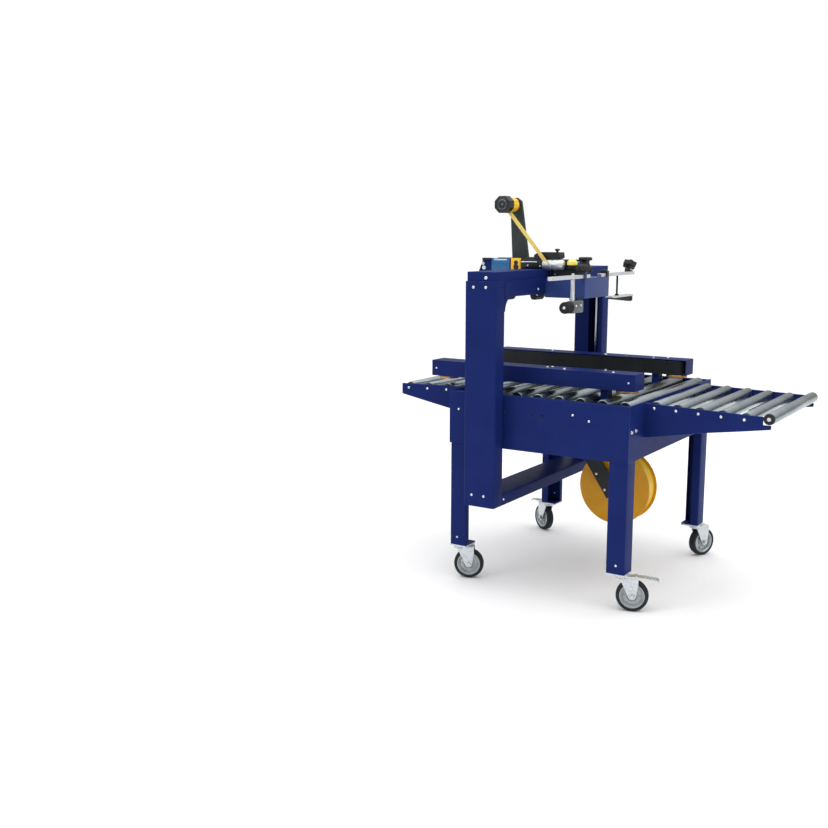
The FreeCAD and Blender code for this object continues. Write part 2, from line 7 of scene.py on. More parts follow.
import logging
import math
from dataclasses import dataclass, field
from enum import Enum
from typing import Callable, Iterable, Sequence

import bmesh
import bpy
from mathutils import Matrix, Vector


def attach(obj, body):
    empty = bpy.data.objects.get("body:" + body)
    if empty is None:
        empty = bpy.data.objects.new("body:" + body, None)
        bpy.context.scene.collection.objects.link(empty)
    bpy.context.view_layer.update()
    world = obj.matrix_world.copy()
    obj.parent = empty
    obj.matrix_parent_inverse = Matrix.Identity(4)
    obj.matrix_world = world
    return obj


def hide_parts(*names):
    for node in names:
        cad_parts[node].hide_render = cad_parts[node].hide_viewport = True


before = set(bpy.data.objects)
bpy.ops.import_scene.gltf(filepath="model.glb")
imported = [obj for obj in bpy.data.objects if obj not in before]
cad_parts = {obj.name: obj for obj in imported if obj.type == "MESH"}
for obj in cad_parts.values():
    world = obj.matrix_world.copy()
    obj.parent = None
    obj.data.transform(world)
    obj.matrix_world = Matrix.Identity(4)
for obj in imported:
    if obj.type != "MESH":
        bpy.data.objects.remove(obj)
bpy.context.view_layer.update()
log = logging.getLogger("carton_sealer")

Rgb = tuple[int, int, int]
Pair = tuple[float, float]
Point = tuple[float, float, float]
MM = 0.001
BED_X = -60.0
FRONT, REAR = -1, 1


class Axis(Enum):
    """A direction that shapes are made along."""

    X = (1.0, 0.0, 0.0)
    Y = (0.0, 1.0, 0.0)
    Z = (0.0, 0.0, 1.0)

    def vector(self) -> Vector:
        """The direction as a vector."""
        return Vector(self.value)

    def across(self, first: float, second: float, along: float) -> Vector:
        """A point from its two coordinates across the axis and the one along it."""
        order = {Axis.X: (along, first, second), Axis.Y: (first, along, second),
                 Axis.Z: (first, second, along)}
        return Vector(order[self])


# ------------------------------------------------------------------------- finishes

def linear(colour: Rgb) -> tuple[float, float, float, float]:
    """A screen colour of 0 to 255 as the linear colour that shaders take."""
    def one(value: float) -> float:
        return value / 12.92 if value <= 0.04045 else ((value + 0.055) / 1.055) ** 2.4
    return (*[one(channel / 255) for channel in colour], 1.0)


class Graph:
    """The node tree of one material, with the few kinds of node that the finishes use."""

    def __init__(self, title: str) -> None:
        """Start an empty material with its shader."""
        self.material = bpy.data.materials.new(title)
        self.material.use_nodes = True
        self.tree = self.material.node_tree
        self.shader = self.tree.nodes["Principled BSDF"]
        self.place = self.node("ShaderNodeTexCoord").outputs["Object"]

    def node(self, kind: str, settings: dict | None = None, **sockets: object) -> bpy.types.Node:
        """Add a node.

        Args:
            kind: Blender's name of the node type.
            settings: the node's own properties.
            sockets: input names, with _ for a space, and a value or an output to link.

        Returns:
            The new node.
        """
        made = self.tree.nodes.new(kind)
        for key, value in (settings or {}).items():
            setattr(made, key, value)
        for key, value in sockets.items():
            self.put(made.inputs[key.replace("_", " ")], value)
        return made

    def put(self, socket: bpy.types.NodeSocket, value: object) -> None:
        """Link an output to a socket, or set the socket's own value."""
        if isinstance(value, bpy.types.NodeSocket):
            self.tree.links.new(value, socket)
        else:
            socket.default_value = value

    def mapped(self, scale: Point = (1, 1, 1), shift: Point = (0, 0, 0)) -> bpy.types.NodeSocket:
        """The object's own coordinates, shifted and then stretched."""
        moved = self.node("ShaderNodeMapping", {"vector_type": "POINT"},
                          Vector=self.place, Location=shift)
        return self.node("ShaderNodeMapping", Vector=moved.outputs[0], Scale=scale).outputs[0]

    def noise(self, scale: float, detail: float = 2.0,
              where: bpy.types.NodeSocket | None = None) -> bpy.types.NodeSocket:
        """A noise of 0 to 1 with so many features to the metre."""
        return self.node("ShaderNodeTexNoise", Vector=where or self.place, Scale=scale,
                         Detail=detail, Roughness=0.55).outputs["Fac"]

    def spread(self, value: bpy.types.NodeSocket, low: float, high: float,
               start: float = 0.3, end: float = 0.7) -> bpy.types.NodeSocket:
        """A value brought from the span start to end to the span low to high."""
        made = self.node("ShaderNodeMapRange", Value=value)
        for name, number in zip(("From Min", "From Max", "To Min", "To Max"),
                                (start, end, low, high)):
            made.inputs[name].default_value = number
        return made.outputs[0]

    def blend(self, share: bpy.types.NodeSocket, first: object,
              second: object) -> bpy.types.NodeSocket:
        """Two colours mixed by a share of 0 to 1."""
        made = self.node("ShaderNodeMix", {"data_type": "RGBA"})
        self.put(made.inputs[0], share)
        self.put(made.inputs[6], first)
        self.put(made.inputs[7], second)
        return made.outputs[2]

    def sum(self, first: bpy.types.NodeSocket, second: object,
            how: str = "ADD") -> bpy.types.NodeSocket:
        """Arithmetic on two values."""
        made = self.node("ShaderNodeMath", {"operation": how})
        self.put(made.inputs[0], first)
        self.put(made.inputs[1], second)
        return made.outputs[0]

    def relief(self, height: bpy.types.NodeSocket, strength: float, depth: float) -> None:
        """Bump the surface by a height of 0 to 1 that stands for a depth in millimetres."""
        bump = self.node("ShaderNodeBump", Height=height, Strength=strength,
                         Distance=depth * MM)
        self.put(self.shader.inputs["Normal"], bump.outputs[0])


@dataclass(frozen=True)
class Finish:
    """A finish with a drifting colour, a fine grain and a roughness that follows it."""

    title: str
    colour: Rgb
    tint: Rgb
    rough: Pair = (0.35, 0.5)
    metal: float = 0.0
    coat: float = 0.0
    drift: float = 9.0
    grain: float = 700.0
    bump: float = 0.12
    depth: float = 0.15
    stretch: Point = (1.0, 1.0, 1.0)
    glow: float = 0.0
    shine: float = 0.5

    def colours(self, graph: Graph) -> bpy.types.NodeSocket:
        """The colour output, from broad patches of the tint."""
        share = graph.spread(graph.noise(self.drift, 4.0), 0.0, 1.0)
        return graph.blend(share, linear(self.colour), linear(self.tint))

    def height(self, graph: Graph) -> bpy.types.NodeSocket:
        """The height output, a fine grain that may run in one direction."""
        return graph.noise(self.grain, 3.0, graph.mapped(self.stretch))

    def material(self) -> bpy.types.Material:
        """The material, made on first use."""
        ready = bpy.data.materials.get(self.title)
        if ready is not None:
            return ready
        graph = Graph(self.title)
        shader = graph.shader.inputs
        graph.put(shader["Base Color"], self.colours(graph))
        height = self.height(graph)
        smudge = graph.noise(self.drift * 3.0, 5.0)
        mixed = graph.sum(graph.sum(height, 0.5, "MULTIPLY"),
                          graph.sum(smudge, 0.5, "MULTIPLY"))
        graph.put(shader["Roughness"], graph.spread(mixed, *self.rough))
        shader["Metallic"].default_value = self.metal
        shader["Specular IOR Level"].default_value = self.shine
        shader["Coat Weight"].default_value = self.coat
        shader["Coat Roughness"].default_value = 0.12
        if self.glow:
            shader["Subsurface Weight"].default_value = self.glow
            shader["Subsurface Scale"].default_value = 3 * MM
        graph.relief(height, self.bump, self.depth)
        return graph.material


@dataclass(frozen=True)
class Paint(Finish):
    """Powder coat: a close orange peel under a clear gloss, with a little settled dust."""

    def height(self, graph: Graph) -> bpy.types.NodeSocket:
        """Orange peel at two sizes."""
        peel = graph.sum(graph.noise(self.grain, 2.0), 0.7, "MULTIPLY")
        return graph.sum(peel, graph.sum(graph.noise(self.grain / 4, 2.0), 0.3, "MULTIPLY"))


@dataclass(frozen=True)
class EdgeSheenAndWearPaint(Paint):
    """The same coat along a fold or a cut edge, made paler as a painted highlight, with small bare
    chips of wear.
    """

    bare: Rgb = (150, 155, 165)

    def colours(self, graph: Graph) -> bpy.types.NodeSocket:
        """The paler colour, a painted highlight, with wear chips where a fine noise peaks."""
        chips = graph.spread(graph.noise(160.0, 4.0), 0.0, 0.8, 0.63, 0.7)
        return graph.blend(chips, super().colours(graph), linear(self.bare))


@dataclass(frozen=True)
class Zinc(Finish):
    """Bright zinc plate with a faint spangle."""

    def colours(self, graph: Graph) -> bpy.types.NodeSocket:
        """Patches from a cell texture, each with its own tone."""
        cells = graph.node("ShaderNodeTexVoronoi", Vector=graph.place, Scale=260.0)
        share = graph.node("ShaderNodeSeparateColor", Color=cells.outputs["Color"])
        return graph.blend(share.outputs[0], linear(self.colour), linear(self.tint))


@dataclass(frozen=True)
class Wound(Finish):
    """Tape wound on a core: fine rings round an axis along Y through a centre in metres."""

    centre: Pair = (0.0, 0.0)
    pitch: float = 260.0

    def height(self, graph: Graph) -> bpy.types.NodeSocket:
        """Rings that follow the windings, broken up by a little noise."""
        x, z = self.centre
        rings = graph.node("ShaderNodeTexWave", {"wave_type": "RINGS", "rings_direction": "Y"},
                           Vector=graph.mapped(shift=(-x, 0.0, -z)), Scale=self.pitch,
                           Distortion=0.6, Detail=2.0)
        return rings.outputs["Fac"]

    def colours(self, graph: Graph) -> bpy.types.NodeSocket:
        """Rings of slightly different depth of colour."""
        share = graph.sum(graph.sum(self.height(graph), 0.35, "MULTIPLY"),
                          graph.sum(graph.noise(self.drift, 3.0), 0.65, "MULTIPLY"))
        return graph.blend(graph.spread(share, 0.0, 1.0), linear(self.colour),
                           linear(self.tint))


@dataclass(frozen=True)
class BeltCloth(Finish):
    """Rough-top belting: a close diamond knurl in rubber."""

    knurl: float = 320.0

    def height(self, graph: Graph) -> bpy.types.NodeSocket:
        """Two sets of slanting ridges, multiplied."""
        bands = []
        for turn in (1.0, -1.0):
            where = graph.mapped((1.0, 1.0, turn))
            wave = graph.node("ShaderNodeTexWave", {"bands_direction": "DIAGONAL"},
                              Vector=where, Scale=self.knurl, Distortion=0.3)
            bands.append(wave.outputs["Fac"])
        return graph.sum(bands[0], bands[1], "MULTIPLY")


BLUE = Paint("powder_blue", (25, 40, 99), (21, 35, 91), rough=(0.36, 0.48), coat=0.02,
             grain=420.0, bump=0.14, depth=0.25, shine=0.04)
# The head box's lighter blue is a painted highlight: the same coat as the rest, made paler where
# more light falls on it.
LIT_BLUE = Paint("powder_blue_lit", (46, 66, 124), (40, 59, 116), rough=(0.34, 0.46),
                  coat=0.05, grain=420.0, bump=0.14, depth=0.25, shine=0.2)
# Edge coat of the blue: its paler colour is a painted highlight along the bevels; its bare chips
# are wear.
BLUE_EDGE_SHEEN_AND_WEAR = EdgeSheenAndWearPaint("powder_blue_edge_sheen_and_wear", (50, 68, 140), (36, 54, 122), rough=(0.32, 0.46),
                      coat=0.05, grain=420.0, bump=0.14, depth=0.25, shine=0.25)
BLACK = Paint("satin_black", (24, 26, 30), (32, 34, 38), rough=(0.38, 0.55), grain=520.0,
              bump=0.14, depth=0.25, shine=0.3)
# Edge coat of the black: its paler colour is a painted highlight along the bevels; its bare chips
# are wear.
BLACK_EDGE_SHEEN_AND_WEAR = EdgeSheenAndWearPaint("satin_black_edge_sheen_and_wear", (52, 54, 58), (38, 40, 44), rough=(0.35, 0.5),
                       grain=520.0, bump=0.12, depth=0.25, bare=(120, 122, 125), shine=0.35)
ROLLER = Finish("turned_roller", (158, 168, 172), (134, 144, 149), rough=(0.2, 0.34),
                metal=1.0, grain=260.0, bump=0.1, depth=0.12, stretch=(0.15, 6.0, 0.15))
ROD = Finish("ground_rod", (206, 209, 212), (184, 188, 192), rough=(0.1, 0.22), metal=1.0,
             grain=700.0, bump=0.05, depth=0.1)
ZINC = Zinc("zinc_plate", (214, 219, 221), (186, 192, 196), rough=(0.24, 0.4), metal=0.85,
            grain=500.0, bump=0.12, depth=0.12)
SCREW = Finish("screw_steel", (236, 238, 240), (212, 216, 220), rough=(0.18, 0.3), metal=0.8,
               grain=1500.0, bump=0.08, depth=0.08)
ALUMINIUM = Finish("brushed_aluminium", (222, 225, 228), (204, 208, 211), rough=(0.3, 0.44),
                   metal=0.8, grain=300.0, bump=0.16, depth=0.12, stretch=(5.0, 0.1, 5.0))
TYRE = Finish("tyre_rubber", (22, 24, 26), (36, 38, 40), rough=(0.6, 0.8), drift=30.0,
              grain=900.0, bump=0.25, depth=0.2, shine=0.3)
RUBBER = Finish("black_rubber", (22, 24, 25), (36, 37, 38), rough=(0.55, 0.75), drift=40.0,
                grain=1100.0, bump=0.22, depth=0.15, shine=0.3)
BELT = BeltCloth("rough_top_belt", (17, 21, 24), (26, 31, 35), rough=(0.55, 0.75),
                 drift=14.0, bump=0.5, depth=0.6, shine=0.3)
HUB = Finish("grey_hub", (176, 182, 184), (150, 157, 160), rough=(0.28, 0.42), drift=40.0,
             metal=0.6, grain=900.0, bump=0.1)
GREY = Finish("cast_grey", (104, 112, 110), (84, 91, 90), rough=(0.35, 0.5), drift=40.0,
              metal=0.3, grain=900.0, bump=0.14)
DRUM = Finish("turned_brass", (196, 158, 104), (168, 132, 84), rough=(0.26, 0.42), metal=0.85,
              grain=300.0, bump=0.12, depth=0.1, stretch=(0.3, 0.3, 6.0))
KNOB = Finish("moulded_black", (16, 18, 20), (26, 28, 30), rough=(0.3, 0.46), drift=40.0,
              grain=1400.0, bump=0.14, depth=0.12, shine=0.4)
GLOSS = Finish("glossy_grey_plastic", (108, 114, 120), (74, 80, 86), rough=(0.12, 0.25),
               coat=0.4, drift=60.0, grain=1200.0, bump=0.05)
YELLOW = Finish("yellow_plastic", (246, 196, 26), (238, 182, 16), rough=(0.3, 0.42),
                drift=40.0, grain=1000.0, bump=0.08, glow=0.15)
PALE = Finish("pale_yellow_plastic", (246, 228, 120), (240, 216, 96), rough=(0.3, 0.42),
              drift=40.0, grain=1000.0, bump=0.08, glow=0.15)
TEAL = Finish("teal_panel", (26, 104, 158), (20, 92, 144), rough=(0.2, 0.32), coat=0.3,
              drift=50.0, grain=1200.0, bump=0.05, shine=0.4)
LABEL = Finish("pale_film", (214, 228, 236), (196, 214, 226), rough=(0.25, 0.4), drift=80.0,
               grain=1200.0, bump=0.05)
NYLON = Finish("pale_nylon", (218, 218, 212), (202, 202, 196), rough=(0.4, 0.55), drift=30.0,
               grain=900.0, bump=0.1, glow=0.1)
TAPE = Finish("amber_tape", (238, 214, 122), (230, 198, 92), rough=(0.12, 0.24), coat=0.4,
              drift=50.0, grain=300.0, bump=0.08, depth=0.1, glow=0.1)
FLANGE = Wound("amber_flange", (220, 158, 18), (198, 136, 10), rough=(0.26, 0.4), coat=0.08,
               drift=14.0, bump=0.12, depth=0.2, shine=0.2, centre=(0.070, 0.305))
WINDING = Wound("tape_winding", (242, 206, 84), (230, 188, 58), rough=(0.2, 0.32), coat=0.1,
                drift=20.0, bump=0.15, depth=0.15, shine=0.25, centre=(0.070, 0.305))
MAST = Paint("mast_paint", (50, 57, 59), (40, 47, 49), rough=(0.36, 0.5), grain=520.0,
             bump=0.14, depth=0.25, shine=0.3)
FLOOR = Finish("pale_floor", (248, 248, 248), (246, 246, 247), rough=(0.7, 0.85), drift=0.6,
               grain=60.0, bump=0.02, shine=0.1)


# ------------------------------------------------------------------------- shapes

EdgeTest = Callable[[bmesh.types.BMEdge], bool]


def lines(axis: Axis, shortest: float = 8.0, **where: Sequence[float]) -> EdgeTest:
    """A test for straight edges along an axis.

    Args:
        axis: the direction of the edges.
        shortest: the least length, in millimetres.
        where: for x, y or z, the values that the edge may lie at; y is a distance from
            the middle of the machine.

    Returns:
        A function that says whether an edge is one of them.
    """
    def test(edge: bmesh.types.BMEdge) -> bool:
        first, second = (vert.co for vert in edge.verts)
        run = second - first
        if run.length < shortest or abs(run.normalized().dot(axis.vector())) < 0.9999:
            return False
        for letter, values in where.items():
            spot = getattr(first, letter)
            spot = abs(spot) if letter == "y" else spot
            if min(abs(spot - value) for value in values) > 0.15:
                return False
        return True
    return test


class Shape:
    """A mesh under way, in millimetres from the middle of the bed."""

    def __init__(self) -> None:
        """Start with nothing."""
        self.bm = bmesh.new()

    # ---- starting shapes

    @classmethod
    def block(cls, x: Pair, y: Pair, z: Pair, soft: float = 0.0, slot: int = 0) -> "Shape":
        """A box between low and high corners, its edges softened.

        Args:
            x: low and high X.
            y: low and high Y.
            z: low and high Z.
            soft: the radius of its edges.
            slot: the material slot of its faces.

        Returns:
            The shape.
        """
        made = cls()
        spans = [sorted(pair) for pair in (x, y, z)]
        middle = Vector([(low + high) / 2 for low, high in spans])
        size = [high - low for low, high in spans]
        bmesh.ops.create_cube(made.bm, size=1.0,
                              matrix=Matrix.Translation(middle) @ Matrix.Diagonal((*size, 1.0)))
        if soft:
            made.soften(soft, lambda edge: True, 3)
        return made.paint(slot)

    @classmethod
    def plate(cls, outline: Sequence[Pair], axis: Axis, low: float, high: float,
              corner: float = 0.0, slot: int = 0) -> "Shape":
        """A flat plate cut to an outline.

        Args:
            outline: points across the axis, in order.
            axis: the direction of its thickness.
            low: where it starts along the axis.
            high: where it ends along the axis.
            corner: the radius of the outline's corners.
            slot: the material slot of its faces.

        Returns:
            The shape.
        """
        made = cls()
        ring = [made.bm.verts.new(axis.across(*point, low)) for point in outline]
        face = made.bm.faces.new(ring)
        grown = bmesh.ops.extrude_face_region(made.bm, geom=[face])["geom"]
        bmesh.ops.translate(made.bm, vec=axis.vector() * (high - low),
                            verts=[g for g in grown if isinstance(g, bmesh.types.BMVert)])
        if corner:
            made.soften(corner, lines(axis, 0.01), 5)
        return made.outward().paint(slot)

    @classmethod
    def lathe(cls, axis: Axis, start: Point, profile: Sequence[Pair], slot: int = 0,
              sides: int = 48, ring: bool = False) -> "Shape":
        """A turned shape.

        Args:
            axis: the direction of its axis.
            start: a point on the axis that the profile is measured from.
            profile: radius and distance along the axis, in order.
            slot: the material slot of its faces.
            sides: the number of steps round it.
            ring: True where the profile closes on itself, as for a bored part.

        Returns:
            The shape.
        """
        made = cls()
        verts = [made.bm.verts.new((radius, 0.0, along)) for radius, along in profile]
        pairs = list(zip(verts, verts[1:])) + ([(verts[-1], verts[0])] if ring else [])
        edges = [made.bm.edges.new(pair) for pair in pairs]
        bmesh.ops.spin(made.bm, geom=verts + edges, cent=(0, 0, 0), axis=(0, 0, 1),
                       dvec=(0, 0, 0), angle=2 * math.pi, steps=sides, use_merge=True,
                       use_normal_flip=False, use_duplicate=False)
        made.outward()
        return made.aim(axis.vector(), start).paint(slot)

    @classmethod
    def rod(cls, axis: Axis, radius: float, start: Point, length: float, soft: float = 0.6,
            slot: int = 0, sides: int = 32) -> "Shape":
        """A round bar with its rims softened, from a point along an axis."""
        soft = min(soft, radius * 0.9, length * 0.45)
        profile = ((0.0, 0.0), (radius - soft, 0.0), (radius, soft), (radius, length - soft),
                   (radius - soft, length), (0.0, length))
        return cls.lathe(axis, start, profile, slot, sides)

    @classmethod
    def folded(cls, path: Sequence[Pair], axis: Axis, low: float, high: float, thick: float,
               bend: float, cuts: Iterable[tuple[Point, Point]] = (), slot: int = 0) -> "Shape":
        """A sheet folded along a path and drawn out along an axis.

        Args:
            path: points across the axis that the sheet's middle follows.
            axis: the direction of the folds.
            low: where the sheet starts along the axis.
            high: where it ends along the axis.
            thick: the sheet's thickness.
            bend: the radius of the folds.
            cuts: a point and an outward direction for each plane that trims the sheet.
            slot: the material slot of its faces.

        Returns:
            The shape.
        """
        made = cls()
        verts = [made.bm.verts.new(axis.across(*point, low)) for point in path]
        edges = [made.bm.edges.new(pair) for pair in zip(verts, verts[1:])]
        grown = bmesh.ops.extrude_edge_only(made.bm, edges=edges)["geom"]
        bmesh.ops.translate(made.bm, vec=axis.vector() * (high - low),
                            verts=[g for g in grown if isinstance(g, bmesh.types.BMVert)])
        made.soften(bend, lambda edge: len(edge.link_faces) == 2, 5)
        for point, away in cuts:
            everything = [*made.bm.verts, *made.bm.edges, *made.bm.faces]
            bmesh.ops.bisect_plane(made.bm, geom=everything, dist=0.001, plane_co=point,
                                   plane_no=away, clear_outer=True)
        made.outward()
        bmesh.ops.solidify(made.bm, geom=made.bm.faces[:], thickness=thick)
        return made.outward().paint(slot)

    @classmethod
    def star(cls, radius: float, height: float, lobes: int, dip: float, flare: float = 1.0,
             soft: float = 3.0, slot: int = 0) -> "Shape":
        """A lobed hand grip that stands on the origin along +Z.

        Args:
            radius: the radius at a lobe's tip.
            height: its height.
            lobes: the number of lobes.
            dip: how deep the waist between lobes is.
            flare: the size of its top, as a share of its foot.
            soft: the radius of its rims.
            slot: the material slot of its faces.

        Returns:
            The shape.
        """
        made = cls()
        ring = bmesh.ops.create_circle(made.bm, cap_ends=True, radius=radius,
                                       segments=lobes * 10)["verts"]
        for vert in ring:
            turn = math.atan2(vert.co.y, vert.co.x) * lobes
            vert.co *= 1.0 - dip / radius * (0.5 - 0.5 * math.cos(turn)) ** 0.8
        grown = bmesh.ops.extrude_face_region(made.bm, geom=made.bm.faces[:])["geom"]
        top = [g for g in grown if isinstance(g, bmesh.types.BMVert)]
        bmesh.ops.translate(made.bm, vec=(0, 0, height), verts=top)
        bmesh.ops.scale(made.bm, vec=(flare, flare, 1.0), verts=top)
        made.outward()
        made.soften(soft, lambda edge: edge.calc_face_angle(0.0) > 1.0, 4)
        return made.paint(slot)

    @classmethod
    def cad(cls, *nodes: str) -> "Shape":
        """A merged copy of CAD nodes, with their flat faces made whole."""
        made = cls()
        for name in nodes:
            made.bm.from_mesh(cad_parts[name].data)
        made.bm.transform(Matrix.Translation((-BED_X, 0, 0)) @ Matrix.Scale(1 / MM, 4))
        bmesh.ops.remove_doubles(made.bm, verts=made.bm.verts[:], dist=0.01)
        bmesh.ops.dissolve_limit(made.bm, angle_limit=math.radians(0.3),
                                 verts=made.bm.verts[:], edges=made.bm.edges[:])
        return made

    # ---- changes

    def outward(self) -> "Shape":
        """Merge doubles and point the faces out."""
        bmesh.ops.remove_doubles(self.bm, verts=self.bm.verts[:], dist=0.001)
        bmesh.ops.recalc_face_normals(self.bm, faces=self.bm.faces[:])
        return self

    def paint(self, slot: int, pick: Callable[[Vector], bool] | None = None) -> "Shape":
        """Give faces a material slot: all of them, or those whose middle a test picks."""
        for face in self.bm.faces:
            if pick is None or pick(face.calc_center_median()):
                face.material_index = slot
        return self

    def soften(self, radius: float, pick: EdgeTest, steps: int = 4) -> "Shape":
        """Round the edges that a test picks."""
        edges = [edge for edge in self.bm.edges if pick(edge)]
        if edges:
            bmesh.ops.bevel(self.bm, geom=edges, offset=radius, offset_type="OFFSET",
                            affect="EDGES", segments=steps, profile=0.5, material=-1,
                            clamp_overlap=True)
        return self

    def move(self, x: float = 0.0, y: float = 0.0, z: float = 0.0) -> "Shape":
        """Shift the shape."""
        bmesh.ops.translate(self.bm, vec=(x, y, z), verts=self.bm.verts[:])
        return self

    def turn(self, degrees: float, axis: Axis, about: Point = (0, 0, 0)) -> "Shape":
        """Turn the shape about an axis through a point."""
        bmesh.ops.rotate(self.bm, cent=about, verts=self.bm.verts[:],
                         matrix=Matrix.Rotation(math.radians(degrees), 3, axis.vector()))
        return self

    def lean(self, slope: float, shift: float) -> "Shape":
        """Shift the shape along Y in proportion to X."""
        rows = Matrix.Identity(4)
        rows[1][0], rows[1][3] = slope, shift
        self.bm.transform(rows)
        return self

    def aim(self, direction: Vector, at: Point) -> "Shape":
        """Turn the shape's +Z to a direction and put its origin at a point."""
        turn = Vector((0, 0, 1)).rotation_difference(Vector(direction)).to_matrix().to_4x4()
        self.bm.transform(Matrix.Translation(at) @ turn)
        return self

    def add(self, *others: "Shape") -> "Shape":
        """Join other shapes to this one."""
        for other in others:
            mesh = bpy.data.meshes.new("part")
            other.bm.to_mesh(mesh)
            other.bm.free()
            self.bm.from_mesh(mesh)
            bpy.data.meshes.remove(mesh)
        return self


class Head(Enum):
    """The kinds of screw head on the machine."""

    PAN = "pan"
    HEX = "hex"


def screw(at: Point, facing: Point, radius: float, head: Head = Head.PAN,
          slot: int = 0) -> Shape:
    """A screw head that stands on a surface.

    Args:
        at: where its axis meets the surface.
        facing: the surface's outward direction.
        radius: the head's radius.
        head: the kind of head.
        slot: the material slot of its faces.

    Returns:
        The shape.
    """
    high = radius * 0.62
    if head is Head.PAN:
        profile = ((0, high * 0.4), (radius * 0.3, high * 0.4), (radius * 0.36, high),
                   (radius * 0.62, high * 0.92), (radius * 0.88, high * 0.6),
                   (radius, high * 0.15), (radius, -0.2), (0, -0.2))
        return Shape.lathe(Axis.Z, (0, 0, 0), profile, slot, 20).aim(Vector(facing), at)
    made = Shape.lathe(Axis.Z, (0, 0, 0), ((0, 1.2), (radius * 1.3, 1.2), (radius * 1.35, 0.9),
                                           (radius * 1.35, -0.2), (0, -0.2)), slot, 24)
    made.add(Shape.rod(Axis.Z, radius, (0, 0, 1.0), radius * 0.9, radius * 0.16, slot, 6))
    return made.aim(Vector(facing), at)


def show(shape: Shape, name: str, body: str, finishes: Sequence[Finish],
         nodes: Sequence[str] = (), edge: float = 0.4, sheen_and_wear_slot: int = -1) -> bpy.types.Object:
    """Finish a shape as a piece that rides on a body.

    Args:
        shape: the shape, which is used up.
        name: the piece's name.
        body: the CAD body that it rides on.
        finishes: the finish of each material slot.
        nodes: the CAD nodes that it stands for.
        edge: the radius that its sharp edges get.
        sheen_and_wear_slot: the material slot that those edges get, whose paler coat is a painted
            highlight with chips of wear, or -1 for their faces' own.

    Returns:
        The piece.
    """
    shape.bm.transform(Matrix.Scale(MM, 4) @ Matrix.Translation((BED_X, 0, 0)))
    for face in shape.bm.faces:
        face.smooth = True
    for line in shape.bm.edges:
        line.smooth = line.calc_face_angle(0.0) < math.radians(34)
    mesh = bpy.data.meshes.new(name)
    shape.bm.to_mesh(mesh)
    shape.bm.free()
    for finish in finishes:
        mesh.materials.append(finish.material())
    piece = bpy.data.objects.new(name, mesh)
    bpy.context.scene.collection.objects.link(piece)
    if edge:
        bevel = piece.modifiers.new("edges", "BEVEL")
        bevel.width = edge * MM
        bevel.segments = 2
        bevel.limit_method = "ANGLE"
        bevel.angle_limit = math.radians(34)
        bevel.harden_normals = True
        # The bevels take the paler edge coat, a painted highlight, where a slot is given.
        bevel.material = sheen_and_wear_slot
    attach(piece, body)
    if nodes:
        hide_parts(*nodes)
    log.info("%s rides on %s: %d faces", name, body, len(mesh.polygons))
    return piece


# ------------------------------------------------------------------------- bed and wings

@dataclass
class Bed:
    """The bed's folded sides, ends and legs, and what is bolted to them."""

    half: float = 312.0
    side_y: float = 370.0
    sheet: float = 3.0
    low: float = 466.0
    high: float = 638.5
    fold: float = 5.0
    leg_x: Pair = (249.0, 309.0)
    leg_y: Pair = (303.0, 367.0)
    body: str = "frame"

    def sides(self) -> None:
        """The long sides, with round folds along the top and the bottom."""
        shape = Shape.cad("bed_side_plates")
        inner = self.sheet
        shape.soften(self.fold, lines(Axis.X, 40, y=[self.side_y], z=[self.low, self.high]), 6)
        shape.soften(self.fold - 2.5, lines(Axis.X, 40, y=[self.side_y - inner],
                                            z=[self.low + inner, self.high - inner]), 4)
        show(shape, "bed_sides", self.body, [BLUE, BLUE_EDGE_SHEEN_AND_WEAR],
             ["bed_side_plates"], sheen_and_wear_slot=1)

    def ends(self) -> None:
        """The end panels and their lips."""
        shape = Shape.cad("bed_end_panels")
        show(shape, "bed_ends", self.body, [BLUE, BLUE_EDGE_SHEEN_AND_WEAR],
             ["bed_end_panels"], sheen_and_wear_slot=1)

    def legs(self) -> None:
        """Four folded legs with round corners down their length."""
        shape = Shape.cad("legs")
        near, far = self.leg_x
        back, front = self.leg_y
        for sign in (-1, 1):
            for x, y in ((near, front), (far, front), (far, back)):
                shape.soften(self.fold, lines(Axis.Z, 60, x=[sign * x], y=[y]), 6)
            for x, y in ((near + 3, front - 3), (far - 3, front - 3), (far - 3, back + 3)):
                shape.soften(self.fold - 2.5, lines(Axis.Z, 60, x=[sign * x], y=[y]), 4)
        show(shape, "bed_legs", self.body, [BLUE, BLUE_EDGE_SHEEN_AND_WEAR], ["legs"], sheen_and_wear_slot=1)

    def screws(self) -> None:
        """Bright screws on the sides and the legs."""
        made = Shape()
        side = self.side_y
        for x, z in ((128, 598), (182, 584), (-277, 580)):
            made.add(screw((x, -side, z), (0, -1, 0), 4.2))
            made.add(screw((x, side, z), (0, 1, 0), 4.2))
        for sign in (-1, 1):
            for x in (-282, 282):
                made.add(screw((x, sign * self.leg_y[1], 147), (0, sign, 0), 4.0))
                made.add(screw((x, sign * (self.leg_y[1] - 3), 147), (0, -sign, 0), 4.0))
            for y in (318, 352):
                made.add(screw((self.half, sign * y, 560), (1, 0, 0), 4.0, Head.HEX))
                made.add(screw((-self.half, sign * y, 560), (-1, 0, 0), 4.0, Head.HEX))
        show(made, "bed_screws", self.body, [SCREW], edge=0.0)

    def build(self) -> None:
        """Build and dress all of it."""
        self.sides()
        self.ends()
        self.legs()
        self.screws()


